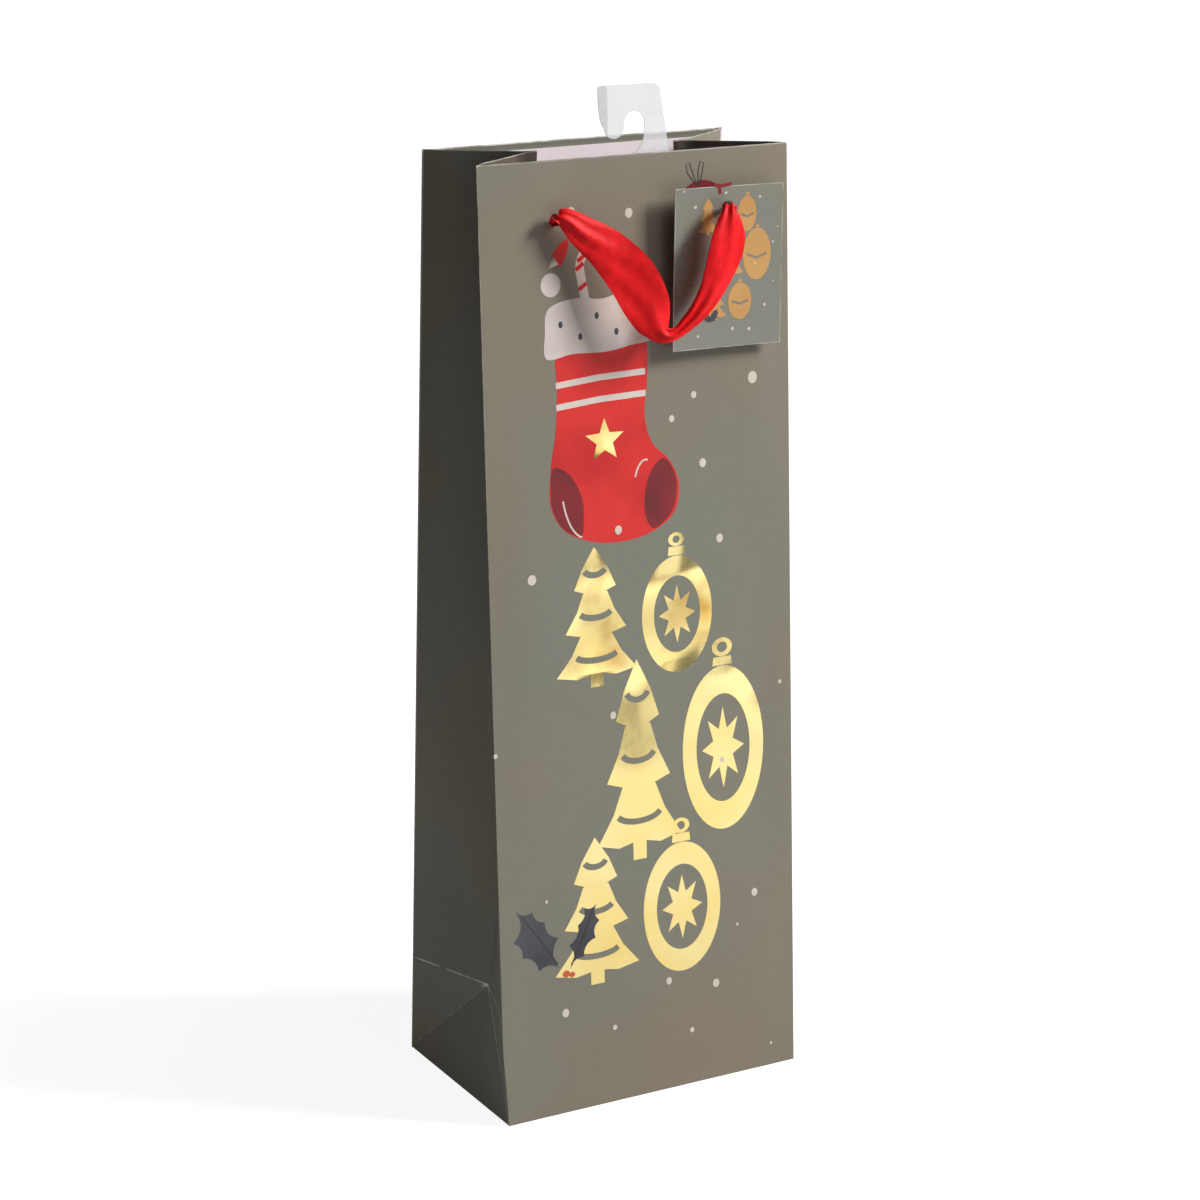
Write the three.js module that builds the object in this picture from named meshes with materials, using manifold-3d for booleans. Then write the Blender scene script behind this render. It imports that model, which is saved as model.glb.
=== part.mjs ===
// A gift bag for one bottle: a folded paper tube with V-folded sides and a block bottom, stiffened at its
// rim, with two ribbon handles, a gift tag threaded on the front one and a clear plastic hook to hang it by.
// Millimetres, +Z up. The front faces -Y. The origin is the middle of the floor, on what the bag stands on.
import * as THREE from 'three';
import { mergeVertices } from 'three/addons/utils/BufferGeometryUtils.js';
import Module from 'manifold-3d';

// ---------------------------------------------------------------------------------------------------------
// Driving dimensions
// ---------------------------------------------------------------------------------------------------------

// The printed sheet
const PANEL_WIDTH = 127;
const PANEL_LENGTH = 360; // along the leaning panel, from its bottom fold to the rim
const FLOOR_DEPTH = 83; // front to back at the bottom
const MOUTH_DEPTH = 46; // front to back at the rim, as the bag stands half open
const PAPER = 0.4;
const HEM_DEPTH = 34; // turned in at the rim
const SEAM_FLAP_WIDTH = 12;
const GUSSET_ROWS = 12;
const GUSSET_FOOT_ROWS = 3; // below the end of the crease
const GUSSET_FOOT_START = 3.3; // height of the lowest point of each half
const CREASE_STRIP = 5; // half the width of the sharply folded strip at the middle of each side
const CREASE_TIP_RISE = 1.25; // that strip's lower tip, above the end of the crease

// Bottom folds and the card on them
const BIG_FLAP_OVERLAP = 11; // how far each big flap reaches past the middle of the floor
const SIDE_FLAP_REACH = 38;
const SIDE_FLAP_TIP = 0.5; // its tip's share of its full width
const BASE_CARD_THICKNESS = 0.8;
const BASE_CARD_MARGIN = 1; // to the walls, beyond what the folded sides take

// Stiffening cards inside the rim
const TOP_CARD_DROP = 3.4; // below the rim
const TOP_CARD_HEIGHT = 30;
const TOP_CARD_THICKNESS = 0.8;

// Ribbon handles
const HOLE_SPACING = 68;
const HOLE_DROP = 21.5; // below the rim
const HOLE_RADIUS = 2.5;
const RIBBON_WIDTH = 20;
const RIBBON_THICKNESS = 0.5;
const RIBBON_NECK_WIDTH = 3.8; // where it is bunched to pass a hole
const RIBBON_NECK_THICKNESS = 1.2;
const NECK_OUT = 3.8; // how far the bunched ribbon stands out of the panel before it turns down
const KNOT_SIZE = { x: 9, y: 6, z: 8 };
const RIBBON_TAIL = { width: 13, length: 15, drop: 2 }; // the drop is from the knot's middle

// Gift tag
const TAG_WIDTH = 48;
const TAG_HEIGHT = 59;
const TAG_THICKNESS = 0.5;
const TAG_HOLE_RADIUS = 2.75;
const TAG_HOLE_DROP = 9.5; // below the tag's top edge
const TAG_STAND_OFF = 6; // from the panel to the tag at its hole
const TAG_NECK_OUT = 11.6; // the bunched ribbon passes the tag's hole before it turns down
const TAG_TWIST = THREE.MathUtils.degToRad(7.5); // its left edge stands further out
const TAG_TILT = THREE.MathUtils.degToRad(2); // its foot hangs nearer to the panel

// Hang hook, a flat clear plastic J stuck inside the front
const HOOK_THICKNESS = 0.5;
const HOOK_RISE = 24.5; // above the rim
const HOOK_HEAD_LEFT = -15.5;
const HOOK_HEAD_RIGHT = 9.5;
const HOOK_STEM_RIGHT = 14.5; // at the rim
const HOOK_SLOT_CENTRE = -0.8;
const HOOK_SLOT_WIDTH = 8.6;
const HOOK_SLOT_TOP = 15; // above the rim
const HOOK_LEG_TIP = 5.5; // above the rim
const HOOK_LEG_RADIUS = 4;
const HOOK_THROAT = 2; // above the rim, where the slot runs out beside the stem
const HOOK_SHOULDER = 6.6; // below the rim, at the left end of the sloping edge
const HOOK_BASE_WIDTH = 31;
const HOOK_BASE_DEPTH = 19; // below the rim
const HOOK_CORNER = 2.2;
const PAD_SIZE = { x: 25, y: 0.2, z: 14 };

// Clearances
const GLUE = 0.15; // between glued layers
const SEAM_GAP = 0.3; // where two folded faces of the sheet meet
const SEAT_GAP = 0.3; // between pieces that only rest on each other

// ---------------------------------------------------------------------------------------------------------
// Worked out from them
// ---------------------------------------------------------------------------------------------------------

const GUSSET_HALF = FLOOR_DEPTH / 2; // each side folds in half along its crease
const LEAN = Math.asin((FLOOR_DEPTH - MOUTH_DEPTH) / 2 / PANEL_LENGTH);
const RIM_HEIGHT = PANEL_LENGTH * Math.cos(LEAN);
const CREASE_FOOT = GUSSET_HALF / (1 + Math.tan(LEAN)); // height where crease and bottom folds meet
const CREASE_FOOT_INSET = creaseInset(CREASE_FOOT);
const FOOT_LEAN = Math.asin(CREASE_FOOT_INSET / GUSSET_HALF);
const WALL = PAPER / Math.cos(LEAN);
const HEM_INNER = 2 * PAPER + GLUE;
const TOP_STACK = HEM_INNER + GLUE + TOP_CARD_THICKNESS;
const FLOOR_STACK = 3 * PAPER;
const FLOOR_HALF_DEPTH = GUSSET_HALF - WALL - SEAM_GAP - FLOOR_STACK * Math.tan(LEAN);
const FLOOR_HALF_WIDTH =
  PANEL_WIDTH / 2 - PAPER / Math.cos(FOOT_LEAN) - SEAM_GAP - FLOOR_STACK * Math.tan(FOOT_LEAN);
const HOLE_HEIGHT = PANEL_LENGTH - HOLE_DROP;

// Half the depth of the bag at a height, from its middle to the outside of a panel.
function halfDepth(z) {
  return GUSSET_HALF - z * Math.tan(LEAN);
}

// How far the side's crease lies inside the panel's edge at a height.
function creaseInset(z) {
  return Math.sqrt(GUSSET_HALF ** 2 - halfDepth(z) ** 2);
}

// How much narrower than the panel a layer is, whose inner face lies this deep inside it, to clear the sides.
function sideInset(depth) {
  const atRim = halfDepth(RIM_HEIGHT);
  return (depth * creaseInset(RIM_HEIGHT) + PAPER * GUSSET_HALF) / atRim + SEAM_GAP;
}

// ---------------------------------------------------------------------------------------------------------
// Materials and small tools
// ---------------------------------------------------------------------------------------------------------

const finish = {
  print: () => new THREE.MeshStandardMaterial({ color: 0x6f6c64, roughness: 0.5, metalness: 0 }),
  card: () => new THREE.MeshStandardMaterial({ color: 0xe6dcda, roughness: 0.8, metalness: 0 }),
  ribbon: () => new THREE.MeshStandardMaterial({ color: 0xc4161c, roughness: 0.4, metalness: 0 }),
  tag: () => new THREE.MeshStandardMaterial({ color: 0x83857a, roughness: 0.5, metalness: 0 }),
  plastic: () => new THREE.MeshStandardMaterial({ color: 0xe9e9ec, roughness: 0.2, metalness: 0 }),
};

const WELD = 1e-4; // points nearer to each other than this are one
const wasm = await Module();
wasm.setup();

function piece(name, geometry, material) {
  const mesh = new THREE.Mesh(geometry, material());
  mesh.name = name;
  return mesh;
}

// A closed geometry with shared vertices, its faces turned outwards.
function closed(geometry) {
  const bare = geometry.clone();
  bare.deleteAttribute('normal');
  bare.deleteAttribute('uv');
  const merged = mergeVertices(bare, WELD);
  const index = merged.getIndex();
  if (signedVolume(merged) < 0) {
    for (let i = 0; i < index.count; i += 3) {
      const first = index.getX(i);
      index.setX(i, index.getX(i + 1));
      index.setX(i + 1, first);
    }
  }
  return merged;
}

function signedVolume(geometry) {
  const place = geometry.getAttribute('position');
  const index = geometry.getIndex();
  const [a, b, c] = [new THREE.Vector3(), new THREE.Vector3(), new THREE.Vector3()];
  let volume = 0;
  for (let i = 0; i < index.count; i += 3) {
    a.fromBufferAttribute(place, index.getX(i));
    b.fromBufferAttribute(place, index.getX(i + 1));
    c.fromBufferAttribute(place, index.getX(i + 2));
    volume += a.dot(b.cross(c)) / 6;
  }
  return volume;
}

// A thin solid between two grids of points, outer[row][column] and inner[row][column].
function slab(outer, inner) {
  const rows = outer.length;
  const columns = outer[0].length;
  const points = [...outer.flat(), ...inner.flat()];
  const at = (layer, row, column) => layer * rows * columns + row * columns + column;
  const index = [];
  const quad = (a, b, c, d) => index.push(a, b, c, a, c, d);
  for (let r = 0; r + 1 < rows; r += 1) {
    for (let c = 0; c + 1 < columns; c += 1) {
      quad(at(0, r, c), at(0, r, c + 1), at(0, r + 1, c + 1), at(0, r + 1, c));
      quad(at(1, r, c), at(1, r + 1, c), at(1, r + 1, c + 1), at(1, r, c + 1));
    }
    const last = columns - 1;
    quad(at(0, r, 0), at(0, r + 1, 0), at(1, r + 1, 0), at(1, r, 0));
    quad(at(0, r, last), at(1, r, last), at(1, r + 1, last), at(0, r + 1, last));
  }
  for (let c = 0; c + 1 < columns; c += 1) {
    const last = rows - 1;
    quad(at(0, 0, c), at(1, 0, c), at(1, 0, c + 1), at(0, 0, c + 1));
    quad(at(0, last, c), at(0, last, c + 1), at(1, last, c + 1), at(1, last, c));
  }
  const geometry = new THREE.BufferGeometry().setFromPoints(points);
  geometry.setIndex(index);
  return closed(geometry);
}

function toSolid(geometry) {
  const shape = closed(geometry);
  return new wasm.Manifold(
    new wasm.Mesh({
      numProp: 3,
      vertProperties: shape.getAttribute('position').array,
      triVerts: new Uint32Array(shape.getIndex().array),
    }),
  );
}

function join(...geometries) {
  const solids = geometries.map(toSolid);
  const mesh = solids.reduce((sum, next) => sum.add(next)).getMesh();
  const geometry = new THREE.BufferGeometry();
  geometry.setAttribute('position', new THREE.BufferAttribute(mesh.vertProperties, 3));
  geometry.setIndex(new THREE.BufferAttribute(mesh.triVerts, 1));
  return geometry;
}

function rectangle(left, right, low, high) {
  return new THREE.Shape([
    new THREE.Vector2(left, low),
    new THREE.Vector2(right, low),
    new THREE.Vector2(right, high),
    new THREE.Vector2(left, high),
  ]);
}

function polygon(...corners) {
  return new THREE.Shape(corners.map(([x, y]) => new THREE.Vector2(x, y)));
}

function punch(shape, x, y, radius) {
  const hole = new THREE.Path();
  hole.absarc(x, y, radius, 0, 2 * Math.PI, true);
  shape.holes.push(hole);
}

// A flat sheet drawn in X (across) and Z (up). Its outer face is at y and it is thickness deep towards +Y.
function upright(shape, y, thickness) {
  const options = { depth: thickness, bevelEnabled: false, curveSegments: 6 };
  const geometry = new THREE.ExtrudeGeometry(shape, options);
  geometry.rotateX(Math.PI / 2);
  geometry.translate(0, y + thickness, 0);
  return closed(geometry);
}

// A flat sheet drawn in X and Y, from z up.
function lying(shape, z, thickness) {
  const geometry = new THREE.ExtrudeGeometry(shape, { depth: thickness, bevelEnabled: false });
  geometry.translate(0, 0, z);
  return closed(geometry);
}

// The frame of a leaning panel: X across, Z up along the paper, -Y out of the bag, from its bottom fold.
function leaningFrame(turn) {
  const turned = new THREE.Group();
  turned.rotation.z = turn;
  const leaned = new THREE.Group();
  leaned.position.y = -GUSSET_HALF;
  leaned.rotation.x = -LEAN;
  turned.add(leaned);
  return { turned, leaned };
}

// ---------------------------------------------------------------------------------------------------------
// The printed sheet: panels, hems, seam, folded sides and bottom
// ---------------------------------------------------------------------------------------------------------

function punchHandleHoles(shape) {
  for (const side of [-1, 1]) {
    punch(shape, (side * HOLE_SPACING) / 2, HOLE_HEIGHT, HOLE_RADIUS);
  }
}

// One panel with the layers that are glued inside its rim.
function panelPieces(end) {
  const low = PAPER * Math.tan(LEAN);
  const panel = rectangle(-PANEL_WIDTH / 2, PANEL_WIDTH / 2, low, PANEL_LENGTH);
  punchHandleHoles(panel);

  const hemHalf = PANEL_WIDTH / 2 - sideInset(HEM_INNER);
  const hem = rectangle(-hemHalf, hemHalf, PANEL_LENGTH - HEM_DEPTH, PANEL_LENGTH);
  punchHandleHoles(hem);

  const cardHalf = PANEL_WIDTH / 2 - sideInset(TOP_STACK);
  const cardTop = PANEL_LENGTH - TOP_CARD_DROP;
  const card = rectangle(-cardHalf, cardHalf, cardTop - TOP_CARD_HEIGHT, cardTop);
  punchHandleHoles(card);

  return [
    piece(`${end}_panel`, upright(panel, 0, PAPER), finish.print),
    piece(`${end}_hem`, upright(hem, PAPER + GLUE, PAPER), finish.print),
    piece(`${end}_top_card`, upright(card, HEM_INNER + GLUE, TOP_CARD_THICKNESS), finish.card),
  ];
}

// The strip by which the sheet is glued to itself, inside one edge of the back panel.
function seamFlap() {
  const edge = PANEL_WIDTH / 2 - sideInset(HEM_INNER);
  const low = FLOOR_STACK + BASE_CARD_THICKNESS + BASE_CARD_MARGIN;
  const top = PANEL_LENGTH - HEM_DEPTH - BASE_CARD_MARGIN;
  const strip = rectangle(edge - SEAM_FLAP_WIDTH, edge, low, top);
  return piece('glue_seam_flap', upright(strip, PAPER + GLUE, PAPER), finish.card);
}

// A point of a folded side at a height: measured along one half from the panel's edge towards the crease, and
// set into the bag by depth. The left side has side -1 and the front half has end -1.
function gussetPoint(side, end, z, along, depth) {
  const out = halfDepth(z);
  const inset = creaseInset(Math.max(z, CREASE_FOOT));
  const run = { x: inset / GUSSET_HALF, y: halfDepth(Math.max(z, CREASE_FOOT)) / GUSSET_HALF };
  const x = PANEL_WIDTH / 2 - along * run.x - depth * run.y;
  const y = out - along * run.y + depth * run.x;
  return new THREE.Vector3(side * x, end * y, z);
}

// Half the width of the sharply folded strip, which comes to a point where the bottom folds begin.
function stripHalf(z) {
  return Math.max(0, Math.min(CREASE_STRIP, z - CREASE_FOOT));
}

// The heights at which the folded sides get a row of points, above the end of the crease.
function gussetHeights() {
  const first = CREASE_FOOT + CREASE_STRIP;
  const heights = [];
  for (let i = 0; i <= GUSSET_ROWS; i += 1) {
    heights.push(first + ((RIM_HEIGHT - first) * i) / GUSSET_ROWS);
  }
  return heights;
}

// Where a half of a folded side begins, clear of the panel that it joins.
function gussetStart(z) {
  const at = Math.max(z, CREASE_FOOT);
  const reach = WALL + SEAM_GAP + (PAPER * creaseInset(at)) / GUSSET_HALF;
  return (reach * GUSSET_HALF) / halfDepth(at);
}

// One half of a folded side, from the panel's edge to the crease and, below it, to the slanting bottom fold.
function gussetHalf(side, end) {
  const rows = [];
  for (let i = 0; i <= GUSSET_FOOT_ROWS; i += 1) {
    const z = GUSSET_FOOT_START + ((CREASE_FOOT - GUSSET_FOOT_START) * i) / GUSSET_FOOT_ROWS;
    rows.push({ z, stop: (GUSSET_HALF * z) / CREASE_FOOT - SEAM_GAP });
  }
  for (const z of gussetHeights()) {
    rows.push({ z, stop: GUSSET_HALF - stripHalf(z) - SEAM_GAP });
  }
  const layer = (depth) =>
    rows.map(({ z, stop }) => [
      gussetPoint(side, end, z, gussetStart(z), depth),
      gussetPoint(side, end, z, stop, depth),
    ]);
  return slab(layer(0), layer(PAPER));
}

// The narrow strip folded sharply along the middle of a side.
function creaseStrip(side) {
  const tip = CREASE_FOOT + CREASE_TIP_RISE;
  const layer = (depth) =>
    [tip, ...gussetHeights()].map((z) => {
      const mitre = (depth * GUSSET_HALF) / halfDepth(z);
      const edge = GUSSET_HALF - stripHalf(z);
      return [
        gussetPoint(side, -1, z, edge, depth),
        new THREE.Vector3(side * (PANEL_WIDTH / 2 - creaseInset(z) - mitre), 0, z),
        gussetPoint(side, 1, z, edge, depth),
      ];
    });
  return slab(layer(0), layer(PAPER));
}

// The triangle at the foot of a side, which leans in from the floor to the end of the crease.
function gussetFoot(side) {
  const low = PAPER * Math.tan(FOOT_LEAN);
  const cut = SEAM_GAP * Math.SQRT2;
  const half = GUSSET_HALF - Math.max(cut + low, WALL + SEAM_GAP);
  const triangle = polygon([-half, low], [half, low], [0, half + low]);
  const name = side < 0 ? 'left_foot_fold' : 'right_foot_fold';
  const leaned = new THREE.Group();
  leaned.position.y = -PANEL_WIDTH / 2;
  leaned.rotation.x = -FOOT_LEAN;
  leaned.add(piece(name, upright(triangle, 0, PAPER), finish.print));
  const turned = new THREE.Group();
  turned.rotation.z = (side * Math.PI) / 2;
  turned.add(leaned);
  return turned;
}

// The four bottom flaps: the two long ones overlap under the two short ones, front flap outermost.
function bottomFlaps() {
  const wide = FLOOR_HALF_WIDTH;
  const deep = FLOOR_HALF_DEPTH;
  const tip = wide - deep;
  const long = (end) => {
    const reach = -end * BIG_FLAP_OVERLAP;
    return polygon([-wide, end * deep], [wide, end * deep], [tip, reach], [-tip, reach]);
  };
  const short = (side) => {
    const inner = side * (wide - SIDE_FLAP_REACH);
    const half = deep * SIDE_FLAP_TIP;
    return polygon([side * wide, -deep], [side * wide, deep], [inner, half], [inner, -half]);
  };
  return [
    piece('bottom_flap_front', lying(long(-1), 0, PAPER), finish.print),
    piece('bottom_flap_back', lying(long(1), PAPER, PAPER), finish.print),
    piece('bottom_flap_left', lying(short(-1), 2 * PAPER, PAPER), finish.print),
    piece('bottom_flap_right', lying(short(1), 2 * PAPER, PAPER), finish.print),
  ];
}

function baseCard() {
  const half = { x: FLOOR_HALF_WIDTH - BASE_CARD_MARGIN, y: FLOOR_HALF_DEPTH - BASE_CARD_MARGIN };
  const card = rectangle(-half.x, half.x, -half.y, half.y);
  return piece('base_card', lying(card, FLOOR_STACK, BASE_CARD_THICKNESS), finish.card);
}

// ---------------------------------------------------------------------------------------------------------
// Ribbon handles. A route point is [across, out of the panel, above the holes, share of the width that is
// spread there, twist in degrees].
// ---------------------------------------------------------------------------------------------------------

const FRONT_ROUTE = [
  [-34, 4.6, -0.5, 0.2, 0],
  [-33.6, 5.3, -1.8, 0.33, 0],
  [-31.2, 6.2, -4.2, 0.55, 0],
  [-25, 7.4, -7.6, 0.85, 10],
  [-17.5, 8.9, -13.4, 1, 14],
  [-10.5, 10.2, -20, 1, 20],
  [-6, 11.3, -26.5, 1, 30],
  [-3, 12.4, -34, 1, 55],
  [-0.2, 13.4, -41, 1, 80],
  [4.5, 14.3, -43.8, 1, 78],
  [11, 14.8, -41, 1, 30],
  [18.2, 15, -34.8, 1, 8],
  [24.8, 15, -26, 1, 0],
  [30.3, 14.8, -16.5, 1, -6],
  [34, 14, -7.5, 0.85, -8],
  [34.8, 13.2, -2.6, 0.42, 0],
  [34.4, 12.2, -0.6, 0.2, 0],
];

const BACK_ROUTE = [
  [-34, 4.6, -0.5, 0.2, 0],
  [-33.6, 5.3, -1.8, 0.33, 0],
  [-31.2, 6.2, -4.4, 0.55, 0],
  [-26, 7.2, -9.4, 0.85, 10],
  [-19.5, 8.6, -17.5, 1, 14],
  [-13, 10, -27, 1, 28],
  [-6.5, 11.6, -36, 1, 56],
  [0, 12.4, -40, 1, 78],
  [6.5, 11.6, -36, 1, 56],
  [13, 10, -27, 1, 28],
  [19.5, 8.6, -17.5, 1, 14],
  [26, 7.2, -9.4, 0.85, 10],
  [31.2, 6.2, -4.4, 0.55, 0],
  [33.6, 5.3, -1.8, 0.33, 0],
  [34, 4.6, -0.5, 0.2, 0],
];

function ribbon(route) {
  const points = route.map(([x, out, up]) => new THREE.Vector3(x, -out, HOLE_HEIGHT + up));
  const curve = new THREE.CatmullRomCurve3(points);
  const outward = new THREE.Vector3(0, -1, 0);
  const steps = (route.length - 1) * 2;
  const [front, back] = [[], []];
  for (let i = 0; i <= steps; i += 1) {
    const t = i / steps;
    const [low, high] = [Math.floor(i / 2), Math.ceil(i / 2)];
    const width = (RIBBON_WIDTH * (route[low][3] + route[high][3])) / 2;
    const twist = THREE.MathUtils.degToRad((route[low][4] + route[high][4]) / 2);
    const centre = curve.getPoint(t);
    const along = curve.getTangent(t);
    const across = new THREE.Vector3().crossVectors(outward, along).normalize().applyAxisAngle(along, -twist);
    const face = new THREE.Vector3().crossVectors(along, across).normalize();
    const edge = (side, layer) =>
      centre
        .clone()
        .addScaledVector(across, (side * width) / 2)
        .addScaledVector(face, (layer * RIBBON_THICKNESS) / 2);
    front.push([edge(-1, 1), edge(1, 1)]);
    back.push([edge(-1, -1), edge(1, -1)]);
  }
  return slab(front, back);
}

// A ribbon's end: bunched through its hole, knotted inside the bag, with a short tail hanging from the knot.
function ribbonEnd(side, neckOut) {
  const x = (side * HOLE_SPACING) / 2;
  const knotY = TOP_STACK + SEAT_GAP + KNOT_SIZE.y / 2;
  const knot = new THREE.SphereGeometry(0.5, 12, 8);
  knot.scale(KNOT_SIZE.x, KNOT_SIZE.y, KNOT_SIZE.z);
  knot.translate(x, knotY, HOLE_HEIGHT);
  const neck = new THREE.BoxGeometry(RIBBON_NECK_WIDTH, neckOut + knotY, RIBBON_NECK_THICKNESS);
  neck.translate(x, (knotY - neckOut) / 2, HOLE_HEIGHT);
  const tail = new THREE.BoxGeometry(RIBBON_TAIL.width, RIBBON_THICKNESS, RIBBON_TAIL.length);
  tail.translate(x, knotY, HOLE_HEIGHT - RIBBON_TAIL.drop - RIBBON_TAIL.length / 2);
  return join(knot, neck, tail);
}

function giftTag() {
  const top = TAG_HOLE_DROP;
  const shape = rectangle(-TAG_WIDTH / 2, TAG_WIDTH / 2, top - TAG_HEIGHT, top);
  punch(shape, 0, 0, TAG_HOLE_RADIUS);
  const tag = piece('gift_tag', upright(shape, -TAG_THICKNESS / 2, TAG_THICKNESS), finish.tag);
  tag.rotation.set(TAG_TILT, 0, TAG_TWIST);
  tag.position.set(HOLE_SPACING / 2, -TAG_STAND_OFF, HOLE_HEIGHT);
  return tag;
}

// ---------------------------------------------------------------------------------------------------------
// Hang hook: a flat J with a downward slot, drawn with its zero height at the rim
// ---------------------------------------------------------------------------------------------------------

function hookOutline() {
  const slotRadius = HOOK_SLOT_WIDTH / 2;
  const slotLeft = HOOK_SLOT_CENTRE - slotRadius;
  const slotRight = HOOK_SLOT_CENTRE + slotRadius;
  const arcHeight = HOOK_SLOT_TOP - slotRadius;
  const legCentre = slotLeft - HOOK_LEG_RADIUS;
  const legHeight = HOOK_LEG_TIP + HOOK_LEG_RADIUS;
  const base = HOOK_BASE_WIDTH / 2;
  const shape = new THREE.Shape();
  shape.moveTo(-base, -HOOK_BASE_DEPTH);
  shape.lineTo(base, -HOOK_BASE_DEPTH);
  shape.lineTo(base, -HOOK_CORNER);
  shape.lineTo(HOOK_STEM_RIGHT, 0);
  shape.lineTo(HOOK_HEAD_RIGHT, HOOK_RISE - HOOK_CORNER);
  shape.quadraticCurveTo(HOOK_HEAD_RIGHT, HOOK_RISE, HOOK_HEAD_RIGHT - HOOK_CORNER, HOOK_RISE);
  shape.lineTo(HOOK_HEAD_LEFT, HOOK_RISE);
  shape.quadraticCurveTo(HOOK_HEAD_LEFT, arcHeight, legCentre - HOOK_LEG_RADIUS, legHeight);
  shape.absarc(legCentre, legHeight, HOOK_LEG_RADIUS, Math.PI, 2 * Math.PI, false);
  shape.lineTo(slotLeft, arcHeight);
  shape.absarc(HOOK_SLOT_CENTRE, arcHeight, slotRadius, Math.PI, 0, true);
  shape.quadraticCurveTo(slotRight, HOOK_THROAT, HOOK_SLOT_CENTRE, 0);
  shape.lineTo(-base, -HOOK_SHOULDER);
  return shape;
}

function hookPieces() {
  const padY = TOP_STACK + GLUE;
  const hookY = padY + PAD_SIZE.y + GLUE;
  const hook = piece('hang_hook', upright(hookOutline(), hookY, HOOK_THICKNESS), finish.plastic);
  hook.position.z = PANEL_LENGTH;
  const padTop = PANEL_LENGTH - TOP_CARD_DROP - GLUE;
  const pad = rectangle(-PAD_SIZE.x / 2, PAD_SIZE.x / 2, padTop - PAD_SIZE.z, padTop);
  return [hook, piece('hook_pad', upright(pad, padY, PAD_SIZE.y), finish.card)];
}

// ---------------------------------------------------------------------------------------------------------
// The bag
// ---------------------------------------------------------------------------------------------------------

const bag = new THREE.Group();

const front = leaningFrame(0);
front.leaned.add(
  ...panelPieces('front'),
  piece('front_ribbon', ribbon(FRONT_ROUTE), finish.ribbon),
  piece('front_knot_left', ribbonEnd(-1, NECK_OUT), finish.ribbon),
  piece('front_knot_right', ribbonEnd(1, TAG_NECK_OUT), finish.ribbon),
  giftTag(),
  ...hookPieces(),
);

const back = leaningFrame(Math.PI);
back.leaned.add(
  ...panelPieces('back'),
  seamFlap(),
  piece('back_ribbon', ribbon(BACK_ROUTE), finish.ribbon),
  piece('back_knot_left', ribbonEnd(1, NECK_OUT), finish.ribbon),
  piece('back_knot_right', ribbonEnd(-1, NECK_OUT), finish.ribbon),
);

bag.add(front.turned, back.turned);
for (const [side, name] of [[-1, 'left'], [1, 'right']]) {
  bag.add(
    piece(`${name}_gusset_front`, gussetHalf(side, -1), finish.print),
    piece(`${name}_gusset_back`, gussetHalf(side, 1), finish.print),
    piece(`${name}_gusset_crease`, creaseStrip(side), finish.print),
    gussetFoot(side),
  );
}
bag.add(...bottomFlaps(), baseCard());

export default bag;
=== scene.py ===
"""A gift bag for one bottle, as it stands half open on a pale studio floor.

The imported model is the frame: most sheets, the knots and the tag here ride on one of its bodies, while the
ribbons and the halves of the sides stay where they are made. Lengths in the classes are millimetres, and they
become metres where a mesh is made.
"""

from __future__ import annotations

import logging
import math
from collections.abc import Callable, Sequence
from dataclasses import dataclass, field
from enum import Enum, IntEnum

import bmesh
import bpy
from mathutils import Matrix, Vector

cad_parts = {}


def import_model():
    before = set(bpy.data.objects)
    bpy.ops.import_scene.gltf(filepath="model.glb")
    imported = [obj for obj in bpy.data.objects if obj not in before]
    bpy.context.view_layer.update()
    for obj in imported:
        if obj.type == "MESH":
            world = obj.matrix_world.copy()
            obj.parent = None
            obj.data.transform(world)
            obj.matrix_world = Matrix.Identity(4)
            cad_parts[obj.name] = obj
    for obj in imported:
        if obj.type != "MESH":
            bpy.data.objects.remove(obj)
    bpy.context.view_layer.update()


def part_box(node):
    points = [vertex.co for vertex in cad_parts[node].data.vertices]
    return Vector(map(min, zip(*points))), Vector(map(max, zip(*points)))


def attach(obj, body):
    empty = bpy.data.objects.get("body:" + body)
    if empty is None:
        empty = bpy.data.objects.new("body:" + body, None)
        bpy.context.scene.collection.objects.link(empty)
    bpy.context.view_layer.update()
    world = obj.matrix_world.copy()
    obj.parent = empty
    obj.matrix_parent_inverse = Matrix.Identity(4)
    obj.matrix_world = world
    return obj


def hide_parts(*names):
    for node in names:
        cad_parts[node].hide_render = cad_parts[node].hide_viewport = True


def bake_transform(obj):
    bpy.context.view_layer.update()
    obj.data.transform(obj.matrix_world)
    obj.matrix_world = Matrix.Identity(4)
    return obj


LOG = logging.getLogger("gift_bag")
MM = 0.001
LAY = "lay"  # the attribute that holds a point's place on its sheet: across, along, wear
AROUND_HOLE = (-6.0, -3.0, 0.0, 3.0, 6.0)  # the grid lines around a punched hole, from its middle

Point2 = tuple[float, float]
Outline = list[Point2]
Tone = tuple[int, int, int]
Socket = bpy.types.NodeSocket
Material = bpy.types.Material
Piece = bpy.types.Object


# ---- Named choices and sizes


class Side(IntEnum):
    """The left or right side of the bag."""

    LEFT = -1
    RIGHT = 1

    @property
    def label(self) -> str:
        """The side's name in a node."""
        return self.name.lower()


class End(IntEnum):
    """The front or back of the bag."""

    FRONT = -1
    BACK = 1

    @property
    def label(self) -> str:
        """The end's name in a node."""
        return self.name.lower()


class Slot(Enum):
    """The names of the material slots."""

    PRINT = "printed_paper"
    PLAIN = "plain_paper"
    BOARD = "white_board"
    SATIN = "red_satin"
    TAG = "tag_card"
    PLASTIC = "clear_plastic"


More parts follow.
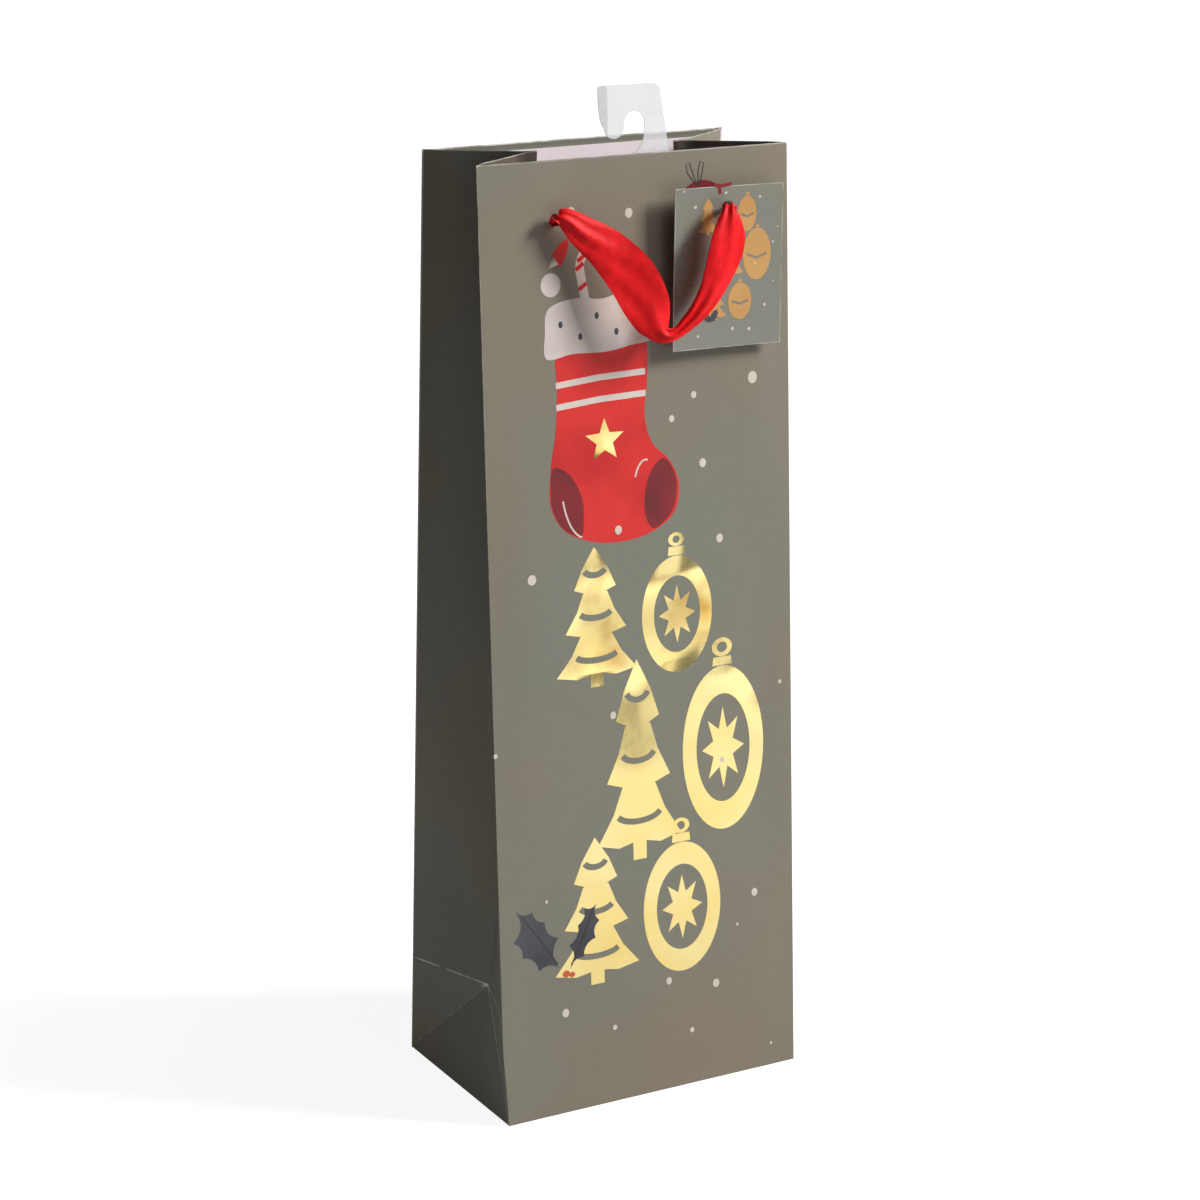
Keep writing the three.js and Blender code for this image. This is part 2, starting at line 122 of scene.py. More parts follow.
@dataclass(frozen=True)
class BagSize:
    """The bag's driving sizes, in millimetres."""

    width: float = 127.0
    length: float = 360.0
    floor_depth: float = 83.0
    mouth_depth: float = 46.0
    paper: float = 0.4
    hem_depth: float = 34.0
    glue: float = 0.15
    board: float = 0.8
    board_drop: float = 2.7
    board_height: float = 30.7
    board_margin: float = 8.0  # from the board's end to the panel's edge
    board_share: float = 0.75  # the board's thickness here, as a share of its solid's
    hem_margin: float = 2.6  # from the hem's end to the panel's edge
    hole_spacing: float = 68.0
    hole_drop: float = 21.5
    hole_radius: float = 2.5
    fold_start: float = 6.5  # from the bag's middle plane to where the crease begins to move
    edge_reach: float = 16.5  # from a panel inwards to where the side stops following it
    soft_fold: float = 1.5  # how far the front panel's left fold stands out

    @property
    def half_width(self) -> float:
        """Half the panel's width."""
        return self.width / 2

    @property
    def gusset(self) -> float:
        """The width of each half of a folded side."""
        return self.floor_depth / 2

    @property
    def lean(self) -> float:
        """How far a panel leans inwards, in radians."""
        return math.asin((self.floor_depth - self.mouth_depth) / 2 / self.length)

    @property
    def rim(self) -> float:
        """The height of the rim."""
        return self.length * math.cos(self.lean)

    @property
    def crease_foot(self) -> float:
        """The height at which a side's crease meets its bottom folds."""
        return self.gusset / (1 + math.tan(self.lean))

    @property
    def hole_height(self) -> float:
        """The height of the handle holes along the panel."""
        return self.length - self.hole_drop

    def half_depth(self, z: float) -> float:
        """Half the bag's depth at a height."""
        return self.gusset - z * math.tan(self.lean)

    def crease_inset(self, z: float) -> float:
        """How far a side's crease lies inside the panel's edge at a height."""
        return math.sqrt(max(0.0, self.gusset**2 - self.half_depth(max(z, self.crease_foot)) ** 2))


SIZE = BagSize()


def smooth(t: float) -> float:
    """A soft step from 0 to 1."""
    t = min(1.0, max(0.0, t))
    return t * t * (3 - 2 * t)


def metres(x: float, y: float, z: float) -> Vector:
    """A point in metres from millimetres."""
    return Vector((x * MM, y * MM, z * MM))


@dataclass(frozen=True)
class Panel:
    """The frame of the front or back panel: across, out of the bag, and up along the paper."""

    end: End
    size: BagSize = SIZE

    def relief(self, x: float, up: float) -> float:
        """How far the paper's slow waves lift it out of its plane.

        Args:
            x: across, from the panel's middle.
            up: along the paper, from the bottom fold.

        Returns:
            The lift, in millimetres.
        """
        rise = smooth((self.size.half_width - abs(x)) / 16) * smooth(up / 45)
        rise *= 1 - 0.85 * smooth((up - 280) / 40) * smooth((abs(x) - 26) / 16)  # stiff by the rim's ends
        shift = 0.0 if self.end is End.FRONT else 2.4
        long_wave = 0.34 * math.sin(x / 34 + up / 61 + 0.6 + shift)
        cross_wave = 0.22 * math.sin(up / 41 - x / 57 + 2.1 + shift)
        short_wave = 0.07 * math.sin(x / 11 + up / 17 + shift)
        return rise * (long_wave + cross_wave + short_wave)

    def spread(self, x: float, up: float) -> float:
        """How far the front panel's soft left fold stands out beyond the sheet's nominal edge.

        Args:
            x: across, from the panel's middle.
            up: along the paper, from the bottom fold.

        Returns:
            The distance, in millimetres.
        """
        if self.end is End.BACK:
            return 0.0
        return self.size.soft_fold * smooth(up / 35) * smooth((-x - self.size.half_width + 20) / 20)

    def flat(self, x: float, out: float, up: float) -> Vector:
        """A point of the panel's frame, in metres.

        Args:
            x: across, to the right as seen from outside the front.
            out: away from the bag.
            up: along the paper, from the bottom fold.

        Returns:
            The point in the bag's frame.
        """
        lean = self.size.lean
        y = -self.size.gusset + up * math.sin(lean) - out * math.cos(lean)
        z = up * math.cos(lean) + out * math.sin(lean)
        turn = 1 if self.end is End.FRONT else -1
        return metres(turn * x, turn * y, z)

    def place(self, x: float, out: float, up: float) -> Vector:
        """A point that follows the paper's waves, in metres."""
        return self.flat(x - self.spread(x, up), out + self.relief(x, up), up)


# ---- Node graphs and finishes


def linear(red: int, green: int, blue: int) -> tuple[float, float, float, float]:
    """A screen colour as the linear colour that a shader takes.

    Args:
        red: from 0 to 255.
        green: from 0 to 255.
        blue: from 0 to 255.

    Returns:
        The linear red, green, blue and a full alpha.
    """

    def one(value: int) -> float:
        """One channel as a linear value."""
        part = value / 255
        return part / 12.92 if part <= 0.04045 else ((part + 0.055) / 1.055) ** 2.4

    return one(red), one(green), one(blue), 1.0


class Graph:
    """A small hand for writing the nodes of a material or of the world."""

    def __init__(self, owner: Material | bpy.types.World) -> None:
        """Empties the owner's nodes.

        Args:
            owner: the material or world that the nodes belong to.
        """
        self.owner = owner
        owner.use_nodes = True
        self.nodes = owner.node_tree.nodes
        self.links = owner.node_tree.links
        self.nodes.clear()

    @classmethod
    def material(cls, name: str) -> "Graph":
        """Starts a new material of that name."""
        return cls(bpy.data.materials.new(name))

    def node(self, kind: str, **settings: object) -> bpy.types.Node:
        """Adds a node.

        Args:
            kind: the node's type.
            settings: the properties to set on it.

        Returns:
            The node.
        """
        made = self.nodes.new(kind)
        for key, value in settings.items():
            setattr(made, key, value)
        return made

    def feed(self, node: bpy.types.Node, **inputs: object) -> bpy.types.Node:
        """Sets or links a node's inputs.

        Args:
            node: the node to feed.
            inputs: a value or an output socket for each input, which is named with _ for a space, or i0, i1
                and so on by its place.

        Returns:
            The same node.
        """
        for key, value in inputs.items():
            name = key.replace("_", " ")
            socket = node.inputs[int(key[1:])] if key[1:].isdigit() else node.inputs[name]
            if isinstance(value, Socket):
                self.links.new(value, socket)
            else:
                socket.default_value = value
        return node

    def math(self, operation: str, first: object, second: object) -> Socket:
        """The result of a Math node."""
        return self.feed(self.node("ShaderNodeMath", operation=operation), i0=first, i1=second).outputs[0]

    def plus(self, first: object, second: object) -> Socket:
        """The sum of two values."""
        return self.math("ADD", first, second)

    def times(self, first: object, second: object) -> Socket:
        """The product of two values."""
        return self.math("MULTIPLY", first, second)

    def mix(self, factor: object, first: object, second: object) -> Socket:
        """The colour that a Mix node gives.

        Args:
            factor: how much of the second colour, from 0 to 1.
            first: the first colour.
            second: the second colour.

        Returns:
            The colour's socket.
        """
        made = self.node("ShaderNodeMix", data_type="RGBA")
        self.feed(made, i0=factor, i6=first, i7=second)
        return made.outputs[2]

    def ramp(self, value: object, low: float, high: float) -> Socket:
        """A value stretched so that low becomes 0 and high becomes 1, kept between them."""
        made = self.node("ShaderNodeMapRange", clamp=True)
        return self.feed(made, Value=value, From_Min=low, From_Max=high).outputs[0]

    def place(self) -> Socket:
        """The point in the bag's frame."""
        return self.node("ShaderNodeTexCoord").outputs["Object"]

    def split(self, vector: Socket) -> Sequence[Socket]:
        """The three parts of a vector."""
        return self.feed(self.node("ShaderNodeSeparateXYZ"), i0=vector).outputs

    def lay(self) -> Sequence[Socket]:
        """The point's place on its sheet: across, along and wear."""
        return self.split(self.node("ShaderNodeAttribute", attribute_name=LAY).outputs["Vector"])

    def stretched(self, lay: Sequence[Socket], x: float, y: float) -> Socket:
        """A point's place on its sheet, stretched across and along."""
        made = self.node("ShaderNodeCombineXYZ")
        return self.feed(made, X=self.times(lay[0], x), Y=self.times(lay[1], y)).outputs[0]

    def noise(self, scale: float, detail: float = 2.0, vector: object = None) -> Socket:
        """A noise value.

        Args:
            scale: how fine it is, per metre where it follows the bag's frame.
            detail: how many finer layers it has.
            vector: what it follows, if not the bag's frame.

        Returns:
            The value's socket.
        """
        made = self.node("ShaderNodeTexNoise")
        where = self.place() if vector is None else vector
        return self.feed(made, Vector=where, Scale=scale, Detail=detail).outputs["Fac"]

    def bump(self, height: object, distance: float, strength: float = 1.0) -> Socket:
        """The normal that a Bump node gives."""
        made = self.node("ShaderNodeBump")
        return self.feed(made, Height=height, Distance=distance, Strength=strength).outputs[0]

    def finish(self, **inputs: object) -> Material:
        """Ends a material's graph in a Principled shader with these inputs."""
        shader = self.feed(self.node("ShaderNodeBsdfPrincipled"), **inputs)
        return self.end("ShaderNodeOutputMaterial", shader)

    def end(self, kind: str, last: bpy.types.Node) -> Material | bpy.types.World:
        """Ends the graph in an output."""
        self.feed(self.node(kind), i0=last.outputs[0])
        return self.owner


@dataclass(frozen=True)
class PrintFinish:
    """Coated paper printed in one dark tone, slightly cloudy, cracked pale along its folds."""

    name: str = "printed_paper"
    tone: Tone = (136, 126, 110)
    cool: Tone = (126, 128, 117)
    worn: Tone = (236, 233, 226)
    roughness: float = 0.42
    specular: float = 0.42
    grain: Tone = (112, 106, 94)
    mottle: Tone = (150, 144, 130)

    def build(self) -> Material:
        """Makes the material.

        Returns:
            The material.
        """
        g = Graph.material(self.name)
        cloud = g.ramp(g.noise(7.0, 3.0), 0.38, 0.62)
        tone = g.mix(cloud, linear(*self.cool), linear(*self.tone))
        grain = g.noise(1500.0, 3.0)
        tone = g.mix(g.times(g.ramp(grain, 0.3, 0.75), 0.22), tone, linear(*self.grain))
        mottle = g.ramp(g.noise(260.0, 4.0), 0.3, 0.8)
        tone = g.mix(g.times(mottle, 0.14), tone, linear(*self.mottle))
        broken = g.ramp(g.noise(150.0, 5.0), 0.36, 0.56)
        wear = g.times(g.ramp(g.lay()[2], 0.35, 0.95), broken)
        tone = g.mix(wear, tone, linear(*self.worn))
        rough = g.plus(g.times(g.noise(60.0, 3.0), 0.10), self.roughness - 0.05)
        relief = g.plus(g.times(grain, 0.25), g.noise(230.0, 3.0))
        return g.finish(
            Base_Color=tone,
            Roughness=rough,
            Specular_IOR_Level=self.specular,
            Normal=g.bump(relief, 0.00006, 0.6),
        )


@dataclass(frozen=True)
class PlainFinish:
    """Uncoated paper or board in a pale tone, with a little fibre."""

    name: str
    tone: Tone
    dark: Tone
    roughness: float = 0.8

    def build(self) -> Material:
        """Makes the material.

        Returns:
            The material.
        """
        g = Graph.material(self.name)
        fibre = g.noise(700.0, 4.0)
        cloud = g.ramp(g.noise(22.0, 3.0), 0.3, 0.75)
        tone = g.mix(g.times(cloud, 0.6), linear(*self.tone), linear(*self.dark))
        tone = g.mix(g.times(g.ramp(fibre, 0.55, 0.8), 0.25), tone, linear(*self.dark))
        return g.finish(Base_Color=tone, Roughness=self.roughness, Normal=g.bump(fibre, 0.00004, 0.5))


@dataclass(frozen=True)
class InkFinish:
    """A flat printed colour on the coated paper, shaded slightly from one part to the next."""

    name: str
    tone: Tone
    shade: Tone
    roughness: float = 0.42
    scale: float = 55.0

    def build(self) -> Material:
        """Makes the material.

        Returns:
            The material.
        """
        g = Graph.material(self.name)
        soft = g.ramp(g.noise(self.scale, 2.0), 0.35, 0.7)
        grain = g.noise(1400.0, 3.0)
        tone = g.mix(soft, linear(*self.tone), linear(*self.shade))
        tone = g.mix(g.times(g.ramp(grain, 0.4, 0.8), 0.12), tone, linear(*self.shade))
        return g.finish(
            Base_Color=tone,
            Roughness=self.roughness,
            Specular_IOR_Level=0.4,
            Normal=g.bump(grain, 0.00004, 0.4),
        )


@dataclass(frozen=True)
class FoilFinish:
    """Hot-stamped gold foil, mirror-like but uneven because the paper shows through.

    Higher up the bag it is smoother and wavier, and streaked in a brown that paints dark reflections into its
    colour.
    """

    name: str = "gold_foil"
    tone: Tone = (255, 238, 170)
    deep: Tone = (252, 224, 142)
    # the brown of the streaks, a painted dark reflection
    streak: Tone = (196, 140, 48)
    wavy: tuple[float, float] = (0.12, 0.17)  # the heights, in metres, between which its waves begin
    painted_reflection_heights: tuple[float, float] = (0.15, 0.185)  # the same for the painted dark reflections
    dull: tuple[float, float] = (0.18, 0.13)  # the same, downwards, for the duller lower part

    def build(self) -> Material:
        """Makes the material.

        Returns:
            The material.
        """
        g = Graph.material(self.name)
        height = g.split(g.place())[2]
        swing = g.plus(g.ramp(height, *self.wavy), 0.08)
        wave = g.times(g.math("SUBTRACT", g.noise(17.0, 1.0), 0.5), swing)
        pits = g.noise(650.0, 3.0)
        tone = g.mix(g.ramp(g.noise(30.0), 0.35, 0.7), linear(*self.tone), linear(*self.deep))
        # Brown streaks higher up paint dark reflections into the foil's colour.
        streak = g.times(g.ramp(g.noise(38.0, 3.0), 0.52, 0.7), g.ramp(height, *self.painted_reflection_heights))
        tone = g.mix(g.times(streak, 0.85), tone, linear(*self.streak))
        rough = g.plus(g.times(pits, 0.12), 0.16)
        rough = g.plus(rough, g.times(g.ramp(height, *self.dull), 0.14))
        relief = g.plus(g.times(pits, 0.0006), wave)
        return g.finish(Base_Color=tone, Metallic=1.0, Roughness=rough, Normal=g.bump(relief, 0.034))


@dataclass(frozen=True)
class SatinFinish:
    """Woven satin ribbon: fine threads along its length, streaks in its sheen that are partly rougher and
    partly painted highlight in its colour, and a firm selvedge.
    """

    name: str = "red_satin"
    tone: Tone = (240, 18, 28)
    deep: Tone = (208, 4, 14)
    # the painted highlight of the sheen's streaks
    lit: Tone = (252, 66, 58)

    def build(self) -> Material:
        """Makes the material.

        Returns:
            The material.
        """
        g = Graph.material(self.name)
        lay = g.lay()
        streak = g.noise(1.0, 3.0, g.stretched(lay, 7.0, 0.16))
        weft = g.noise(1.0, 2.0, g.stretched(lay, 0.5, 5.0))
        cloud = g.ramp(g.noise(240.0, 4.0), 0.42, 0.66)
        tone = g.mix(g.times(cloud, 0.7), linear(*self.tone), linear(*self.deep))
        # Paints highlights of the sheen along the streaks.
        tone = g.mix(g.times(g.ramp(streak, 0.45, 0.8), 0.35), tone, linear(*self.lit))
        selvedge = g.ramp(lay[2], 0.5, 1.0)
        tone = g.mix(g.times(selvedge, 0.5), tone, linear(*self.deep))
        weave = g.plus(g.times(weft, 0.8), streak)
        rough = g.plus(g.times(streak, 0.16), 0.36)
        return g.finish(
            Base_Color=tone,
            Roughness=rough,
            Specular_IOR_Level=0.14,
            Sheen_Weight=0.05,
            Sheen_Roughness=0.4,
            Sheen_Tint=(1.0, 0.35, 0.3, 1.0),
            Normal=g.bump(weave, 0.00009, 0.7),
        )


@dataclass(frozen=True)
class PlasticFinish:
    """Thin clear plastic sheet, a little milky, with a frosty cut edge and a greyer strip at its left."""

    name: str
    tone: Tone = (246, 246, 250)
    opacity: float = 0.5
    roughness: float = 0.22
    haze: Tone = (226, 226, 230)
    grey: Tone = (198, 199, 200)
    strip: tuple[float, float] = (-10.9, -10.5)  # where the grey strip gives way, across the hook

    def build(self) -> Material:
        """Makes the material.

        Returns:
            The material.
        """
        g = Graph.material(self.name)
        haze = g.noise(90.0, 3.0)
        tone = g.mix(g.ramp(g.lay()[0], *self.strip), linear(*self.grey), linear(*self.tone))
        tone = g.mix(g.times(g.ramp(haze, 0.4, 0.8), 0.4), tone, linear(*self.haze))
        made = g.finish(
            Base_Color=tone,
            Roughness=g.plus(g.times(haze, 0.1), self.roughness - 0.05),
            Alpha=self.opacity,
            Normal=g.bump(g.noise(400.0, 2.0), 0.00003, 0.4),
        )
        made.surface_render_method = "BLENDED"
        return made


class Palette:
    """Every finish of the bag, each made once."""

    def __init__(self) -> None:
        """Makes the materials."""
        self.print = PrintFinish().build()
        # A darker copy of the print: painted shade on the printed turn-in inside the side folds by the rim.
        self.turned = PrintFinish("printed_paper_inside", (97, 87, 78), (90, 83, 75)).build()
        self.inside = PlainFinish("paper_inside", (240, 229, 233), (226, 213, 218)).build()
        self.core = PlainFinish("paper_edge", (176, 172, 162), (120, 116, 106)).build()
        self.board = PlainFinish("white_board", (254, 243, 248), (244, 230, 237)).build()
        self.kraft = PlainFinish("base_board", (214, 206, 198), (190, 182, 172)).build()
        self.foil = FoilFinish().build()
        self.satin = SatinFinish().build()
        self.red = InkFinish("ink_red", (226, 50, 44), (204, 36, 38)).build()
        self.wine = InkFinish("ink_wine", (140, 34, 42), (106, 30, 36)).build()
        self.cream = InkFinish("ink_cream", (226, 216, 208), (206, 194, 190)).build()
        self.snow = InkFinish("ink_snow", (224, 214, 202), (214, 203, 192)).build()
        self.slate = InkFinish("ink_slate", (82, 84, 90), (62, 63, 70)).build()
        self.line = InkFinish("ink_line", (62, 56, 52), (50, 44, 42)).build()
        self.berry = InkFinish("ink_berry", (196, 60, 44), (220, 130, 80)).build()
        tag = PrintFinish("tag_print", (130, 131, 120), (124, 126, 117), (232, 229, 220), 0.28, 0.95)
        self.tag = tag.build()
        self.tag_edge = PlainFinish("tag_edge", (226, 222, 212), (184, 180, 168)).build()
        self.ochre = InkFinish("ink_ochre", (206, 160, 98), (196, 148, 88)).build()
        self.plastic = PlasticFinish("clear_plastic").build()
        self.plastic_edge = PlasticFinish("clear_plastic_edge", (255, 255, 255), 0.4, 0.3).build()


# ---- Thin sheets


@dataclass
class Layout:
    """A flat pattern: its points and the faces between them."""

    points: list[Point2] = field(default_factory=list)
    faces: list[tuple[int, ...]] = field(default_factory=list)

    def add(self, other: "Layout") -> None:
        """Adds another pattern beside this one.

        Args:
            other: the pattern to add.
        """
        base = len(self.points)
        self.points += other.points
        self.faces += [tuple(base + i for i in face) for face in other.faces]

    @classmethod
    def of_rows(cls, rows: Sequence[Sequence[Point2]]) -> "Layout":
        """A pattern of quads between rows of points.

        Args:
            rows: the rows in order, each with equally many points.

        Returns:
            The pattern.
        """
        made = cls([point for row in rows for point in row])
        wide = len(rows[0])
        for r in range(len(rows) - 1):
            for c in range(wide - 1):
                at = r * wide + c
                made.faces.append((at, at + 1, at + wide + 1, at + wide))
        return made


def stops(low: float, high: float, step: float, firm: Sequence[float] = ()) -> list[float]:
    """Even stops between two ends, which give way to the firm ones among them.

    Args:
        low: the first stop.
        high: the last stop.
        step: about how far apart the even stops are.
        firm: the stops to keep as they are.

    Returns:
        The stops in order.
    """
    count = max(1, round((high - low) / step))
    even = [low + (high - low) * i / count for i in range(count + 1)]
    kept = [low, high, *(f for f in firm if low < f < high)]
    return sorted(kept + [e for e in even if all(abs(e - k) > 0.4 * step for k in kept)])


def pierced(
    columns: Sequence[float], rows: Sequence[float], holes: Sequence[Point2], radius: float
) -> Layout:
    """A grid with round holes, each in the middle of four by four cells.

    Args:
        columns: the grid lines across.
        rows: the grid lines along.
        holes: the holes' centres, each on a crossing of two lines.
        radius: the holes' radius.

    Returns:
        The pattern.
    """
    made = Layout([(x, y) for y in rows for x in columns])
    wide = len(columns)
    taken: set[tuple[int, int]] = set()
    for x, y in holes:
        at = columns.index(x), rows.index(y)
        taken |= {(at[0] + i, at[1] + j) for i in range(-2, 2) for j in range(-2, 2)}
        turn = [(i, -2) for i in range(-2, 2)] + [(2, j) for j in range(-2, 2)]
        turn += [(-i, 2) for i in range(-2, 2)] + [(-2, -j) for j in range(-2, 2)]
        loop = [(at[1] + j) * wide + at[0] + i for i, j in turn]
        for share in (0.45, 0.8, 1.0):
            ring = []
            for k, (i, j) in enumerate(turn):
                far = made.points[(at[1] + j) * wide + at[0] + i]
                angle = math.atan2(far[1] - y, far[0] - x)
                near = x + radius * math.cos(angle), y + radius * math.sin(angle)
                made.points.append((far[0] + (near[0] - far[0]) * share, far[1] + (near[1] - far[1]) * share))
                ring.append(len(made.points) - 1)
            for k in range(len(turn)):
                after = (k + 1) % len(turn)
                made.faces.append((loop[k], loop[after], ring[after], ring[k]))
            loop = ring
    for r in range(len(rows) - 1):
        for c in range(wide - 1):
            if (c, r) not in taken:
                at_corner = r * wide + c
                made.faces.append((at_corner, at_corner + 1, at_corner + wide + 1, at_corner + wide))
    return made


def filled(outlines: Sequence[Outline], step: float = 6.0) -> Layout:
    """The inside of closed outlines, cut small enough to follow a wavy sheet.

    Args:
        outlines: closed outlines; one inside another is a hole.
        step: the longest stretch left uncut.

    Returns:
        The pattern.
    """
    made = bmesh.new()
    for outline in outlines:
        verts = [made.verts.new((x, y, 0)) for x, y in outline]
        for i, vert in enumerate(verts):
            made.edges.new((vert, verts[(i + 1) % len(verts)]))
    bmesh.ops.triangle_fill(made, edges=made.edges[:], use_beauty=True)
    for axis in (0, 1):
        low = min(v.co[axis] for v in made.verts)
        high = max(v.co[axis] for v in made.verts)
        for i in range(1, math.ceil((high - low) / step)):
            where, normal = Vector((0, 0, 0)), Vector((0, 0, 0))
            where[axis], normal[axis] = low + i * step, 1
            bmesh.ops.bisect_plane(
                made, geom=made.verts[:] + made.edges[:] + made.faces[:], plane_co=where, plane_no=normal
            )
    bmesh.ops.remove_doubles(made, verts=made.verts[:], dist=0.01)
    loose = [v for v in made.verts if not v.link_faces]
    bmesh.ops.delete(made, geom=loose, context="VERTS")
    made.verts.index_update()
    faces = [tuple(v.index for v in face.verts) for face in made.faces]
    layout = Layout([(v.co.x, v.co.y) for v in made.verts], faces)
    made.free()
    return layout


def sheet(
    name: str,
    layout: Layout,
    place: Callable[[float, float, float], Vector],
    thickness: float,
    dress: Sequence[Material],
    wear: Callable[[float, float], float] | None = None,
    skins: Callable[[float, float], int] | None = None,
) -> Piece:
    """Makes a closed thin sheet.

    Args:
        name: the piece's name.
        layout: its flat pattern.
        place: gives the point, in metres, for across, along and depth below the outer skin.
        thickness: from the outer skin to the inner one.
        dress: the materials of the outer skin, the inner skin and the cut edge.
        wear: gives how worn a point of the pattern is, from 0 to 1.
        skins: gives the material of the inner skin at a point of the pattern, if it isn't the second.

    Returns:
        The piece.
    """
    made = bmesh.new()
    lay = made.verts.layers.float_vector.new(LAY)
    skin: list[list[bmesh.types.BMVert]] = [[], []]
    for which, depth in enumerate((0.0, thickness)):
        for a, b in layout.points:
            vert = made.verts.new(place(a, b, depth))
            vert[lay] = Vector((a, b, wear(a, b) if wear else 0.0))
            skin[which].append(vert)
    rims: dict[tuple[int, int], tuple[int, int]] = {}
    for face in layout.faces:
        made.faces.new([skin[0][i] for i in face])
        inner = made.faces.new([skin[1][i] for i in reversed(face)])
        inner.material_index = 1
        if skins:
            middle = [sum(layout.points[i][k] for i in face) / len(face) for k in (0, 1)]
            inner.material_index = skins(middle[0], middle[1])
        for i, j in zip(face, face[1:] + face[:1]):
            if rims.pop((j, i), None) is None:
                rims[(i, j)] = (i, j)
    for i, j in rims.values():
        wall = made.faces.new([skin[0][j], skin[0][i], skin[1][i], skin[1][j]])
        wall.material_index = 2
    bmesh.ops.delete(made, geom=[v for v in made.verts if not v.link_faces], context="VERTS")
    bmesh.ops.recalc_face_normals(made, faces=made.faces[:])
    for face in made.faces:
        face.smooth = face.material_index != 2
    for edge in made.edges:
        if any(f.material_index == 2 for f in edge.link_faces):
            edge.smooth = False
    return to_object(name, made, dress)


def to_object(name: str, made: bmesh.types.BMesh, dress: Sequence[Material]) -> Piece:
    """Turns a finished mesh into an object in the scene and frees it.

    Args:
        name: the object's name.
        made: the mesh.
        dress: its materials in order.

    Returns:
        The object.
    """
    mesh = bpy.data.meshes.new(name)
    made.to_mesh(mesh)
    made.free()
    for material in dress:
        mesh.materials.append(material)
    piece = bpy.data.objects.new(name, mesh)
    bpy.context.scene.collection.objects.link(piece)
    return piece


def print_folds(piece: Piece, cut: Callable[[Vector], bool]) -> None:
    """Prints a sheet's walls where the paper goes on beyond a fold, and leaves the ones that are cut.

    Args:
        piece: the sheet.
        cut: tells whether a wall at a point, in metres, is a cut edge.
    """
    for face in piece.data.polygons:
        if face.material_index == 2 and not cut(face.center):
            face.material_index = 0


def seat(piece: Piece, body: str, slot: Slot, *nodes: str) -> Piece:
    """Lets a piece ride on a body and stand for CAD nodes, and reports it.

    Args:
        piece: the piece.
        body: the body that carries it.
        slot: not used.
        nodes: the CAD nodes that it replaces.

    Returns:
        The piece.
    """
    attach(piece, body)
    if nodes:
        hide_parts(*nodes)
    LOG.info("%s rides on %s", piece.name, body)
    return piece


# ---- Panels, hems and stiffening boards


